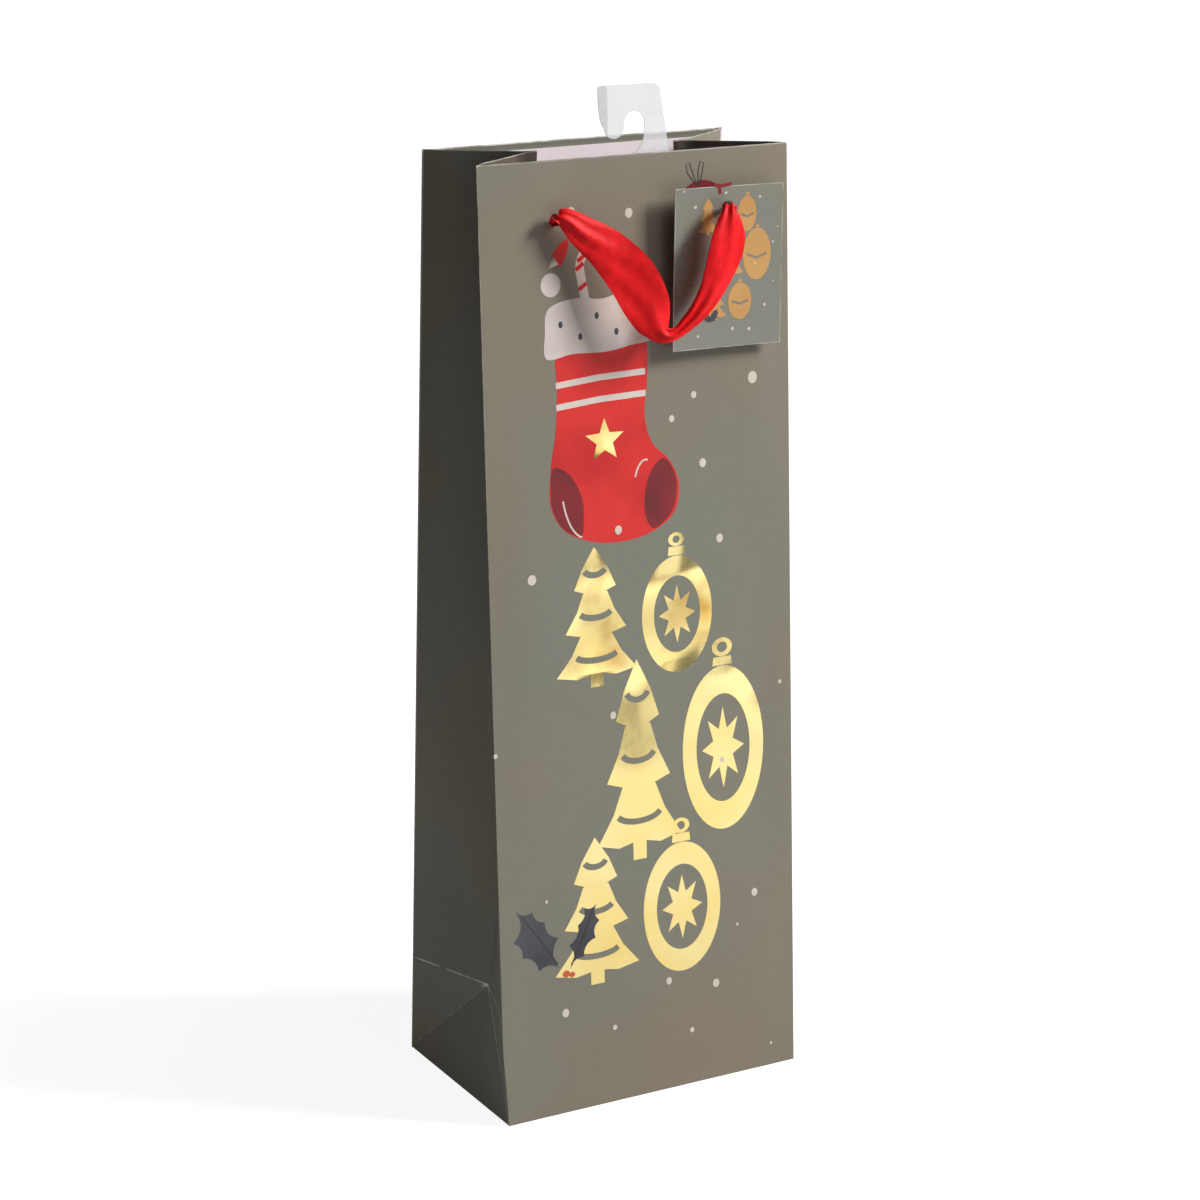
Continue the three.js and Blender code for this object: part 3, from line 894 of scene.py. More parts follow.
@dataclass
class PanelWithHem:
    """One wide panel, its turned-in hem and the board that stiffens its rim."""

    panel: Panel
    palette: Palette
    size: BagSize = SIZE
    step: float = 4.0
    line: float = 0.35  # the width of a worn fold line

    @property
    def roll(self) -> float:
        """The outer radius of the fold at the rim."""
        return self.size.paper + self.size.glue / 2

    @property
    def roll_start(self) -> float:
        """Where the paper begins to turn over the rim, along it."""
        return self.size.length - self.roll

    @property
    def turn(self) -> float:
        """How much paper the fold at the rim takes."""
        return math.pi * self.roll

    def wrapped(self, x: float, along: float, depth: float) -> Vector:
        """A point of the paper, which goes up the outside, over the rim and down inside.

        Args:
            x: across, from the panel's middle.
            along: along the paper, from the bottom fold.
            depth: below the paper's outer skin.

        Returns:
            The point, in metres.
        """
        beyond = along - self.roll_start
        if beyond <= 0:
            out, up = -depth, along
        elif beyond < self.turn:
            radius, angle = self.roll - depth, beyond / self.roll
            out, up = -self.roll + radius * math.cos(angle), self.roll_start + radius * math.sin(angle)
        else:
            out, up = -2 * self.roll + depth, self.roll_start - (beyond - self.turn)
        return self.panel.place(x, out, up)

    def rim_wear(self, along: float) -> float:
        """The worn line over the rim, at its full strength."""
        return 1.15 - abs(along - self.roll_start - self.turn / 2) / (self.turn / 2 + self.line)

    def panel_wear(self, x: float, along: float) -> float:
        """The worn lines at the side folds, over the rim and at the bottom fold.

        Args:
            x: across, from the panel's middle.
            along: along the paper, from the bottom fold.

        Returns:
            The wear, from 0 to about 1.
        """
        side = 1 - (self.size.half_width - abs(x)) / self.line
        low = 0.75 * (1 - along / self.line)
        return max(0.0, 0.7 * side * smooth((along - 90) / 200), 0.62 * self.rim_wear(along), low)

    def hem_wear(self, x: float, along: float) -> float:
        """The worn line of the hem, which is only over the rim."""
        return max(0.0, self.rim_wear(along))

    def punched(self, half: float, rows: Sequence[float], level: float) -> Layout:
        """A layer's flat pattern with its two handle holes.

        Args:
            half: half the layer's width.
            rows: the grid lines along.
            level: where the holes are, along.

        Returns:
            The pattern.
        """
        hole = self.size.hole_spacing / 2
        reach = [hole + d for d in AROUND_HOLE]
        firm = [*reach, *(-r for r in reach), half - self.line, self.line - half]
        columns = stops(-half, half, self.step, firm)
        return pierced(columns, rows, [(-hole, level), (hole, level)], self.size.hole_radius)

    def by_hole(self, at: Vector) -> bool:
        """Whether a wall's point, in metres, is by a hole and not on a fold."""
        return abs(at.x) < (self.size.hole_spacing / 2 + 11) * MM and at.z > 300 * MM

    def build(self) -> None:
        """Makes the panel, the hem and the board."""
        self.build_panel()
        self.build_hem()
        self.build_board()

    def build_panel(self) -> None:
        """Makes the panel up to the top of the fold at the rim."""
        size, end = self.size, self.panel.end.label
        rise = [size.hole_height + d for d in AROUND_HOLE]
        rows = stops(0.02, self.roll_start - self.line, self.step, [self.line, *rise])
        rows += [self.roll_start + self.turn * k / 8 for k in range(5)]
        layout = self.punched(size.half_width, rows, size.hole_height)
        paper = [self.palette.print, self.palette.inside, self.palette.core]
        made = sheet(f"{end}_panel_paper", layout, self.wrapped, size.paper, paper, self.panel_wear)
        print_folds(made, self.by_hole)
        seat(made, end, Slot.PRINT, f"{end}_panel")

    def build_hem(self) -> None:
        """Makes the hem from the top of the fold at the rim down."""
        size, end = self.size, self.panel.end.label
        fall = 2 * self.roll_start + self.turn - size.hole_height
        foot = self.roll_start + self.turn + size.hem_depth - self.roll
        rows = [self.roll_start + self.turn * k / 8 for k in range(4, 9)]
        rows += stops(rows[-1] + self.line, foot, self.step, [fall + d for d in AROUND_HOLE])
        layout = self.punched(size.half_width - size.hem_margin, rows, fall)
        paper = [self.palette.print, self.palette.inside, self.palette.core]
        made = sheet(f"{end}_hem_paper", layout, self.wrapped, size.paper, paper, self.hem_wear)
        seat(made, end, Slot.PRINT, f"{end}_hem")

    def build_board(self) -> None:
        """Makes the white board behind the rim."""
        size, end = self.size, self.panel.end.label
        top = size.length - size.board_drop
        level = 2 * size.paper + 2 * size.glue
        rise = [size.hole_height + d for d in AROUND_HOLE]
        rows = stops(top - size.board_height, top, self.step, rise)
        layout = self.punched(size.half_width - size.board_margin, rows, size.hole_height)

        def place(x: float, up: float, depth: float) -> Vector:
            """A point of the board, in metres."""
            return self.panel.place(x, -level - depth, up)

        board = [self.palette.board] * 3
        made = sheet(f"{end}_top_board", layout, place, size.board_share * size.board, board)
        seat(made, end, Slot.BOARD, f"{end}_top_card")


@dataclass
class SeamFlap:
    """The strip by which the sheet is glued to itself, inside the back."""

    palette: Palette
    size: BagSize = SIZE
    strip: float = 12.0
    foot: float = 3.2  # from the bottom fold to its lower end
    taper: float = 30.0  # the length of its slanting top end
    narrowing: float = 0.75  # how much of its width is gone at the top

    def build(self) -> None:
        """Makes the strip from the floor board to the hem, slanting in at its top."""
        size, panel = self.size, Panel(End.BACK)
        edge = size.half_width - size.hem_margin
        top = size.length - size.hem_depth - 1
        rows = []
        for up in stops(self.foot, top, 5.0):
            wide = self.strip * (1 - self.narrowing * max(0.0, (up - top + self.taper) / self.taper))
            rows.append([(edge - wide * (1 - k / 3), up) for k in range(4)])
        level = size.paper + size.glue

        def place(x: float, up: float, depth: float) -> Vector:
            """A point of the strip, in metres."""
            return panel.place(x, -level - depth, up)

        dress = [self.palette.inside] * 3
        made = sheet("seam_flap_paper", Layout.of_rows(rows), place, size.paper, dress)
        seat(made, "back", Slot.PLAIN, "glue_seam_flap")


# ---- Folded sides and floor


@dataclass
class FoldedSide:
    """One V-folded side: two halves that meet in a crease, above a slanting foot."""

    side: Side
    palette: Palette
    size: BagSize = SIZE
    line: float = 0.6  # the width of a worn fold line
    bow: float = 1.6  # how far each half stands outwards near the rim, which leaves room for the knots
    mitre: float = 1.25  # how much the inner skin is cut back at the panel's fold, for each unit of depth
    soft_reach: float = 20.0  # from the panel's fold to where its softness ends

    def half_point(self, end: End, z: float, along: float, depth: float) -> Vector:
        """A point of one half, from the panel's edge towards the crease.

        Args:
            end: the front or back half.
            z: the height.
            along: from the panel's edge towards the crease, level.
            depth: into the bag from the outer skin.

        Returns:
            The point, in metres.
        """
        size = self.size
        gusset = size.gusset
        wave = smooth(along / 7) * smooth((gusset - along) / 5) * smooth((z - size.crease_foot) / 40)
        swell = 0.9 * math.sin(z / 47 + 1.3 * self.side + end) + 0.35 * math.sin(z / 15 + along / 7 + end)
        high = smooth((z - 170) / 130)
        swell = swell * (1 - 0.75 * high) - self.bow * high
        run_x = size.crease_inset(z) / gusset
        run_y = size.half_depth(max(z, size.crease_foot)) / gusset
        spread = Panel(end).spread(-size.half_width, z) if self.side is Side.LEFT else 0.0
        spread *= smooth((self.soft_reach - along) / self.soft_reach)
        along += self.mitre * depth * run_x / run_y * max(0.0, 1 - along / (2 * self.line))
        depth = depth + wave * swell
        x = size.half_width + spread - along * run_x - depth * run_y
        y = size.half_depth(z) - along * run_y + depth * run_x
        return metres(self.side * x, end * y, z)

    def split(self, z: float) -> float:
        """How far along a half the part near the panel ends and the part near the crease begins."""
        return self.size.gusset * (1 - self.size.fold_start / self.size.half_depth(z))

    def inner_skin(self, along: float, z: float) -> int:
        """The inner skin's material, which is printed down to the hem's lower edge in a darker copy of the
        print that paints the shade inside the fold.
        """
        return 3 if z > self.size.rim - self.size.hem_depth else 1

    def at_rim(self, at: Vector) -> bool:
        """Whether a point, in metres, lies on the rim."""
        return at.z > (self.size.rim - 0.2) * MM

    def build(self) -> None:
        """Makes both halves and the foot."""
        for end in (End.FRONT, End.BACK):
            self.build_edge(end)
            self.build_middle(end)
            self.build_corner(end)
        self.build_foot()

    def heights(self) -> list[float]:
        """The rows above the end of the crease."""
        foot, rim = self.size.crease_foot, self.size.rim
        return stops(foot, rim, 6.0, [foot + self.line, rim - self.size.hem_depth, rim - self.line])

    def blend_to_panel(self, piece: Piece, end: End) -> None:
        """Bakes a piece's place into its mesh.

        Args:
            piece: a part of a half.
            end: the half's end, which is not used.
        """
        panel = Panel(end)
        end.label
        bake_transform(piece)

    def wear_at(self, along: float, z: float, crease: float) -> float:
        """The worn lines of a half: its fold at the panel, its crease, its foot and its rim.

        Args:
            along: from the panel's edge towards the crease.
            z: the height.
            crease: where the crease or the slanting fold is, along.

        Returns:
            The wear, from 0 to 1.
        """
        size = self.size
        side = 0.6 * (1 - along / self.line) * smooth((z - 90) / 160)
        middle = 0.5 * (1 - abs(crease - along) / self.line)
        foot = 1 - abs(z - size.crease_foot) / self.line
        rim = 0.9 * (1 - (size.rim - z) / self.line)
        return max(0.0, side, middle, foot, rim)

    def half_wear(self, along: float, z: float) -> float:
        """The worn lines of a half above the end of the crease."""
        return self.wear_at(along, z, self.size.gusset)

    def build_edge(self, end: End) -> None:
        """Makes the part of a half beside its panel.

        Args:
            end: the half's end.
        """
        rows = []
        for z in self.heights():
            span = self.split(z) - self.line
            rows.append([(0.0, z), *((self.line + span * i / 9, z) for i in range(10))])
        self.part(f"{self.side.label}_side_{end.label}_edge", rows, end, self.half_wear)

    def build_corner(self, end: End) -> None:
        """Makes the triangle of a half below the crease's end, down to the slanting bottom fold.

        Args:
            end: the half's end.
        """
        size = self.size
        rows = []
        low = 0.25  # its tip is left blunt
        for k in range(15):
            z = low + (size.crease_foot - low) * k / 14
            stop = size.gusset * z / size.crease_foot
            line = min(self.line, stop / 3)
            rest = [line + (stop - 2 * line) * i / 9 for i in range(10)]
            rows.append([(a, z) for a in [0.0, *rest, stop]])
        rows.insert(-1, [(a, size.crease_foot - self.line) for a, _ in rows[-1]])
        rows[-2] = [(min(a, size.gusset * (1 - self.line / size.crease_foot)), z) for a, z in rows[-2]]

        def wear(along: float, z: float) -> float:
            """The worn lines of the triangle, the strongest along its slant."""
            slant = size.gusset * z / size.crease_foot
            return self.wear_at(along, z, slant) + 0.4 * max(0.0, 1 - abs(slant - along) / self.line)

        self.part(f"{self.side.label}_side_{end.label}_corner", rows, end, wear)

    def build_middle(self, end: End) -> None:
        """Makes the part of a half beside the crease.

        Args:
            end: the half's end.
        """
        size = self.size
        rows = []
        for z in self.heights():
            start = self.split(z)
            span = size.gusset - start
            places = [start + span * i / 5 for i in range(5)] + [size.gusset - 0.3, size.gusset]
            rows.append([(a, z) for a in places])
        made = self.paper(f"{self.side.label}_side_{end.label}_crease", rows, end, self.half_wear)
        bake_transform(made)
        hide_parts(f"{self.side.label}_gusset_crease")
        LOG.info("%s bends to the crease", made.name)

    def part(
        self, name: str, rows: Sequence[Sequence[Point2]], end: End, wear: Callable[[float, float], float]
    ) -> None:
        """Makes one part and hides the CAD half that it stands for.

        Args:
            name: the part's name.
            rows: its flat pattern, in rows of along and height.
            end: the half's end.
            wear: how worn it is at a point of the pattern.
        """
        made = self.paper(name, rows, end, wear)
        self.blend_to_panel(made, end)
        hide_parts(f"{self.side.label}_gusset_{end.label}")
        LOG.info("%s bends to the %s", name, end.label)

    def paper(
        self, name: str, rows: Sequence[Sequence[Point2]], end: End, wear: Callable[[float, float], float]
    ) -> Piece:
        """Makes the paper of a part, printed outside and inside its rim, where the inside print is darkened
        as painted shade.

        Args:
            name: the part's name.
            rows: its flat pattern, in rows of along and height.
            end: the half's end.
            wear: how worn it is at a point of the pattern.

        Returns:
            The part, which doesn't ride on a body yet.
        """

        def place(along: float, z: float, depth: float) -> Vector:
            """A point of the half, in metres."""
            return self.half_point(end, z, along, depth)

        # The fourth finish is the darker copy of the print, which paints the shade inside the fold.
        dress = [self.palette.print, self.palette.inside, self.palette.core, self.palette.turned]
        made = sheet(name, Layout.of_rows(rows), place, self.size.paper, dress, wear, self.inner_skin)
        print_folds(made, self.at_rim)
        return made

    def build_foot(self) -> None:
        """Makes the triangle that leans in from the floor to the end of the crease."""
        size = self.size
        lean = math.asin(size.crease_inset(0) / size.gusset)
        tip = 0.995  # the share of its rise at which it ends
        rows = []
        for k in range(17):
            share = k / 16 * tip
            half = size.gusset * (1 - share)
            line = min(self.line, half / 3)
            inside = [-half + line + (2 * half - 2 * line) * i / 16 for i in range(17)]
            rows.append([(a, size.gusset * share) for a in [-half, *inside, half]])

        def place(along: float, rise: float, depth: float) -> Vector:
            """A point of the triangle, which bows in a little in its middle.

            Args:
                along: across the triangle, from its middle.
                rise: up the triangle.
                depth: below its outer skin.

            Returns:
                The point, in metres.
            """
            bow = 0.5 * smooth((size.gusset - abs(along) - rise) / 14) * smooth(rise / 8)
            x = size.half_width - rise * math.sin(lean) - (depth + bow) * math.cos(lean)
            z = rise * math.cos(lean) - depth * math.sin(lean) + 0.25
            return metres(self.side * x, -self.side * along, z)

        def wear(along: float, rise: float) -> float:
            """The worn lines at its slants and tip, and a faint one across it.

            Args:
                along: across the triangle, from its middle.
                rise: up the triangle.

            Returns:
                The wear, from 0 to 1.
            """
            slant = 1 - (size.gusset - abs(along) - rise) / (self.line * 1.5)
            peak = 1 - abs(size.gusset - rise) / 2.5
            faint = max(0.0, 1 - abs(along * self.side - 3 - rise * 0.35) / 1.6)
            return max(0.0, slant, peak, 0.55 * faint * smooth((26 - rise) / 8))

        name = f"{self.side.label}_foot_paper"
        dress = [self.palette.print, self.palette.inside, self.palette.core]
        made = sheet(name, Layout.of_rows(rows), place, size.paper, dress, wear)
        print_folds(made, self.at_rim)
        seat(made, "base", Slot.PRINT, f"{self.side.label}_foot_fold")


@dataclass
class Floor:
    """The four bottom flaps and the loose board on them."""

    palette: Palette
    size: BagSize = SIZE
    overlap: float = 11.0
    side_reach: float = 38.0
    margin: float = 0.15  # to the walls
    ground: float = 0.03  # from the ground to the lowest flap
    ease: float = 1.5  # the cut corners of the board

    def flap(self, name: str, corners: Sequence[Point2], level: float, material: Material) -> None:
        """Makes one flat flap.

        Args:
            name: the CAD node that it stands for.
            corners: near left, near right, far right and far left.
            level: the height of its underside.
            material: the finish of its underside.
        """
        a, b, c, d = (Vector(corner) for corner in corners)
        rows = []
        for k in range(13):
            left, right = a.lerp(d, k / 12), b.lerp(c, k / 12)
            rows.append([tuple(left.lerp(right, i / 20)) for i in range(21)])

        def place(x: float, y: float, depth: float) -> Vector:
            """A point of the flap, in metres, with the paper's faint unevenness."""
            return metres(x, y, level + depth + 0.03 * math.sin(x / 9) * math.sin(y / 7))

        dress = [material, self.palette.inside, self.palette.core]
        made = sheet(f"{name}_paper", Layout.of_rows(rows), place, self.size.paper, dress)
        seat(made, "base", Slot.PRINT, name)

    def build(self) -> None:
        """Makes the flaps and dresses the board."""
        paper = self.size.paper
        wide = self.size.half_width - paper - self.margin
        deep = self.size.gusset - paper - self.margin
        tip = wide - deep
        for end in (End.FRONT, End.BACK):
            level = self.ground + (0 if end is End.FRONT else paper)
            reach = -end * self.overlap
            corners = [(-wide, end * deep), (wide, end * deep), (tip, reach), (-tip, reach)]
            self.flap(f"bottom_flap_{end.label}", corners, level, self.palette.print)
        for side in (Side.LEFT, Side.RIGHT):
            outer, inner = side * (wide - 0.5), side * (wide - self.side_reach)
            corners = [(outer, -deep), (outer, deep), (inner, deep / 2), (inner, -deep / 2)]
            self.flap(f"bottom_flap_{side.label}", corners, self.ground + 2 * paper, self.palette.print)
        self.build_board()

    def build_board(self) -> None:
        """Makes the loose board with its corners eased."""
        low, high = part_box("base_card")
        half_x, half_y = high[0] / MM, high[1] / MM
        corners = [(half_x - self.ease, half_y), (half_x, half_y - self.ease)]
        quarters = ((1, 1, 1), (1, -1, -1), (-1, -1, 1), (-1, 1, -1))
        outline = [(sx * x, sy * y) for sx, sy, order in quarters for x, y in corners[::order]]
        level, thick = low[2] / MM, (high[2] - low[2]) / MM

        def place(x: float, y: float, depth: float) -> Vector:
            """A point of the board, in metres."""
            return metres(x, y, level + depth)

        dress = [self.palette.kraft, self.palette.board, self.palette.kraft]
        made = sheet("base_board", filled([outline], 12.0), place, thick, dress)
        seat(made, "base", Slot.BOARD, "base_card")


# ---- Ribbon handles


def spline(four: Sequence[Vector] | Sequence[float], t: float) -> Vector | float:
    """A smooth value between the middle two of four.

    Args:
        four: the values before, at both ends of and after the stretch.
        t: how far along the stretch, from 0 to 1.

    Returns:
        The value.
    """
    a, b, c, d = four
    turn = (c - a) * 0.5, (d - b) * 0.5
    cube = (b - c) * 2 + turn[0] + turn[1]
    square = (c - b) * 3 - turn[0] * 2 - turn[1]
    return ((cube * t + square) * t + turn[0]) * t + b


@dataclass(frozen=True)
class Bend:
    """A point of a ribbon's route, in its panel's frame."""

    x: float
    out: float
    up: float
    share: float
    twist: float


def bends(*rows: tuple[float, float, float, float, float]) -> list[Bend]:
    """A route from plain rows of across, out, above the holes, share of the width, and twist in degrees."""
    return [Bend(*row) for row in rows]


FRONT_ROUTE = bends(
    (-34, -1.5, 0, 0.2, 0),
    (-34.0, 0.6, 0.2, 0.2, 0),
    (-34.9, 2.8, 0.9, 0.21, 0),
    (-35.8, 4.8, 1.7, 0.24, 0),
    (-34.6, 5.9, 1.8, 0.32, 0),
    (-31.6, 6.5, 0.2, 0.44, 0),
    (-26.4, 7.3, -4.2, 0.60, 0),
    (-17.6, 8.5, -11.2, 0.78, -4),
    (-9.2, 10.0, -20.9, 0.92, -8),
    (-4.2, 11.2, -30.4, 0.90, -8),
    (-1.0, 12.1, -37.6, 0.72, -4),
    (2.6, 12.8, -42.7, 0.36, 0),
    (7.0, 13.4, -42.8, 0.22, 0),
    (11.4, 13.8, -39.9, 0.28, -2),
    (17.0, 14.3, -35.0, 0.40, -4),
    (22.5, 14.8, -27.4, 0.56, -6),
    (27.2, 15.0, -16.8, 0.74, -6),
    (29.6, 14.8, -9.0, 0.72, -4),
    (30.7, 14.0, -2.6, 0.46, 0),
    (31.4, 12.6, 0.6, 0.28, 0),
    (32.8, 10.4, 1.4, 0.22, 0),
    (33.8, 6.6, 0.3, 0.2, 0),
    (34, 2.5, 0, 0.2, 0),
    (34, -1.5, 0, 0.2, 0),
)
BACK_ROUTE = bends(
    (-34, -1.5, 0, 0.2, 0),
    (-34.0, 0.6, 0.1, 0.2, 0),
    (-34.2, 2.6, 0.5, 0.21, 0),
    (-34.2, 4.3, -0.2, 0.24, 0),
    (-33.4, 5.4, -1.9, 0.34, 0),
    (-31.2, 6.2, -4.4, 0.56, 0),
    (-26, 7.2, -9.4, 0.85, 10),
    (-19.8, 8.6, -17.8, 1, 14),
    (-13.2, 10, -28, 1, 28),
    (-6.6, 11.8, -38, 1, 56),
    (0, 12.8, -42.6, 1, 78),
    (6.6, 11.8, -38, 1, 56),
    (13.2, 10, -28, 1, 28),
    (19.8, 8.6, -17.8, 1, 14),
    (26, 7.2, -9.4, 0.85, 10),
    (31.2, 6.2, -4.4, 0.56, 0),
    (33.4, 5.4, -1.9, 0.34, 0),
    (34.2, 4.3, -0.2, 0.24, 0),
    (34.2, 2.6, 0.5, 0.21, 0),
    (34.0, 0.6, 0.1, 0.2, 0),
    (34, -1.5, 0, 0.2, 0),
)


@dataclass
class RibbonHandle:
    """A satin ribbon that leaves one hole, hangs folded in a V and goes into the other hole."""

    panel: Panel
    route: list[Bend]
    palette: Palette
    pivots: tuple[Point2, Point2]  # points out of the panel at its left and right end
    width: float = 20.0
    thickness: float = 0.34
    per_bend: int = 8
    across_count: int = 24

    @property
    def body(self) -> str:
        """The name of the handle's body."""
        return f"{self.panel.end.label}_handle"

    def samples(self) -> list[tuple[Vector, float, float]]:
        """The centre line in the panel's frame.

        Returns:
            For each sample its point, its share of the width and its twist in degrees.
        """
        made = []
        last = len(self.route) - 1
        for i in range(last):
            around = [self.route[j] for j in (max(0, i - 1), i, i + 1, min(last, i + 2))]
            points = [Vector((b.x, b.out, b.up)) for b in around]
            shares, twists = [b.share for b in around], [b.twist for b in around]
            for k in range(self.per_bend + (i == last - 1)):
                t = k / self.per_bend
                made.append((spline(points, t), spline(shares, t), spline(twists, t)))
        return made

    def rows(self) -> list[list[tuple[Vector, Vector, float, float]]]:
        """Points across the ribbon at each sample, pleated where it is bunched and cupped where it isn't.

        Returns:
            Rows of points, each with its face direction, its place across and its place along the ribbon.
        """
        samples = self.samples()
        outward, upward = Vector((0, 1, 0)), Vector((0, 0, 1))
        made = []
        length = 0.0
        for i, (centre, share, twist) in enumerate(samples):
            before, after = samples[max(0, i - 1)][0], samples[min(len(samples) - 1, i + 1)][0]
            length += (centre - before).length
            along = (after - before).normalized()
            aim = abs(along.dot(outward)) ** 3
            reference = outward * (1 - aim) + upward * aim
            wide = along.cross(reference).normalized()
            wide = Matrix.Rotation(math.radians(twist), 3, along) @ wide
            face = wide.cross(along).normalized()
            bunch = max(0.0, 1 - share)
            row = []
            for k in range(self.across_count + 1):
                v = 2 * k / self.across_count - 1
                pleat = 1.0 * bunch**1.8 * math.cos(math.pi * (2.2 * v + 0.2))
                cup = 2.0 * share * (1 - share) * 4 * (0.33 - v * v) + 0.5 * share * (v * v - 0.33)
                ripple = 0.22 * share * math.sin(2.6 * v + length / 9) + 0.12 * math.sin(7 * v - length / 5)
                point = centre + wide * (v * share * self.width / 2) + face * (pleat + cup + ripple)
                row.append((point, face, v * self.width / 2, length))
            made.append(row)
        return made

    def build(self) -> Piece:
        """Makes the ribbon.

        Returns:
            The ribbon.
        """
        rows = self.rows()
        hole = SIZE.hole_height
        wide = self.across_count + 1
        flat = [entry for row in rows for entry in row]
        layout = Layout.of_rows([[(r * wide + c, 0.0) for c in range(wide)] for r in range(len(rows))])

        def place(index: float, _: float, depth: float) -> Vector:
            """A point of the ribbon.

            Args:
                index: its number among the ribbon's points.
                depth: below the outer skin.

            Returns:
                The point, in metres.
            """
            point, face, _, _ = flat[int(index)]
            at = point + face * (self.thickness / 2 - depth)
            return self.panel.flat(at.x, at.y, at.z + hole)

        name = f"{self.panel.end.label}_satin_ribbon"
        made = sheet(name, layout, place, self.thickness, [self.palette.satin] * 3)
        for i, item in enumerate(made.data.attributes[LAY].data):
            _, _, across, length = flat[i % len(flat)]
            selvedge = max(0.0, abs(across) / (self.width / 2) * 6 - 5)
            item.vector = (across, length, selvedge)
        self.bend(made)
        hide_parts(f"{self.panel.end.label}_ribbon")
        LOG.info("%s turns with %s", name, self.body)
        return made

    def bend(self, piece: Piece) -> None:
        """Bakes the ribbon's place into its mesh.

        Args:
            piece: the ribbon.
        """
        hole = SIZE.hole_height
        (left_x, left_out), (right_x, right_out) = self.pivots
        axis = Vector((right_x - left_x, right_out - left_out, 0)).normalized()
        level = Vector((-axis.y, axis.x, 0))
        aim = (level * 0.5 + Vector((0, 0, -0.866))).normalized()
        pivot = Vector((left_x, left_out, -0.4))
        start, end = pivot - aim * 0.4, pivot + aim * 3.2
        points = [self.panel.flat(p.x, p.y, p.z + hole) for p in (start, end)]
        self.panel.end.label
        self.body
        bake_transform(piece)

    def declare(self, ribbon: Piece) -> None:
        """Args:
            ribbon: the ribbon.
        """
        hole = SIZE.hole_height
        outside = [centre for centre, _, _ in self.samples() if centre.y > -0.5]
        path = [tuple(self.panel.flat(c.x, c.y, c.z + hole)) for c in outside]
        length = sum((Vector(b) - Vector(a)).length for a, b in zip(path, path[1:]))
        LOG.info("%s is %.1f mm long between its holes", ribbon.name, length / MM)


@dataclass
class RibbonKnot:
    """The knot behind a hole: a ribbon wound on itself, with its cut tail."""

    node: str
    panel: Panel
    x: float
    palette: Palette
    depth: float = 4.9  # inside the panel, to the knot's middle
    size: tuple[float, float, float] = (8.4, 5.2, 7.6)  # the ball's, across, deep and high
    neck: float = 2.6  # how far the ball is drawn out into the hole
    skin: float = 0.17  # half the tail's thickness

    def build(self) -> Piece:
        """Makes the wound knot, its bunched neck and its tail as one piece.

        Returns:
            The knot.
        """
        made = bmesh.new()
        lay = made.verts.layers.float_vector.new(LAY)
        self.wind(made, lay)
        self.tail(made, lay)
        bmesh.ops.recalc_face_normals(made, faces=made.faces[:])
        for face in made.faces:
            face.smooth = True
        wound = to_object(f"{self.node}_wound", made, [self.palette.satin])
        return seat(wound, self.panel.end.label, Slot.SATIN, self.node)

    def at(self, x: float, out: float, up: float) -> Vector:
        """A point from the knot's middle, in metres."""
        return self.panel.place(self.x + x, out - self.depth, SIZE.hole_height + up)

    def wind(self, made: bmesh.types.BMesh, lay: bmesh.types.BMLayerItem) -> None:
        """Adds the knot's ball with the ridges of its turns, drawn out into the neck.

        Args:
            made: the mesh to add to.
            lay: its layer for a point's place on the ribbon.
        """
        rows, around = 26, 30
        long, deep, high = (half / 2 for half in self.size)
        rings = []
        for r in range(rows + 1):
            polar = math.pi * r / rows
            ring = []
            for k in range(around):
                turn = 2 * math.pi * k / around
                ridge = 0.09 * math.sin(3 * polar + 2 * turn) + 0.05 * math.sin(5 * turn - 4 * polar)
                ring_size = math.sin(polar)
                body = 1 + ridge * ring_size
                pull = smooth((0.6 - polar) / 0.6)
                x = long * math.cos(turn) * ring_size * body * (1 - 0.1 * pull)
                out = deep * math.cos(polar) * body + self.neck * pull
                up = high * math.sin(turn) * ring_size * body * (1 - 0.2 * pull)
                vert = made.verts.new(self.at(x, out, up))
                vert[lay] = Vector((4 * math.sin(turn), 9 * polar, 0))
                ring.append(vert)
            rings.append(ring)
        for low, high in zip(rings, rings[1:]):
            for k in range(around):
                after = (k + 1) % around
                made.faces.new([low[k], low[after], high[after], high[k]])
        bmesh.ops.remove_doubles(made, verts=rings[0] + rings[-1], dist=1e-7)

    def tail(self, made: bmesh.types.BMesh, lay: bmesh.types.BMLayerItem) -> None:
        """Adds the flat tail with its slanting cut.

        Args:
            made: the mesh to add to.
            lay: its layer for a point's place on the ribbon.
        """
        rows = []
        for k in range(11):
            fall = k / 10
            half = 2.5 + 4.0 * smooth(fall * 2)
            row = []
            for i in range(9):
                v = i / 4 - 1
                drop = 2.2 + fall * (12.2 + 1.6 * v)
                sway = 0.8 * smooth(fall * 3) + 0.4 * math.sin(fall * 5 + v) + 0.4 * (v * v - 0.4) * fall
                row.append((v * half, sway, -drop))
            rows.append(row)
        skins = []
        for offset in (self.skin, -self.skin):
            skin = []
            for row in rows:
                line = []
                for x, y, z in row:
                    vert = made.verts.new(self.at(x, y + offset, z))
                    vert[lay] = Vector((x, -z, 0))
                    line.append(vert)
                skin.append(line)
            skins.append(skin)
        for r in range(len(rows) - 1):
            for c in range(8):
                for skin, turn in ((skins[0], 1), (skins[1], -1)):
                    made.faces.new([skin[r][c], skin[r][c + 1], skin[r + 1][c + 1], skin[r + 1][c]][::turn])
        front, back = skins
        rim = [(0, c) for c in range(8)] + [(r, 8) for r in range(10)]
        rim += [(10, c) for c in range(8, 0, -1)] + [(r, 0) for r in range(10, 0, -1)]
        for (r1, c1), (r2, c2) in zip(rim, rim[1:] + rim[:1]):
            made.faces.new([front[r1][c1], back[r1][c1], back[r2][c2], front[r2][c2]])


# ---- Outlines of the printed shapes


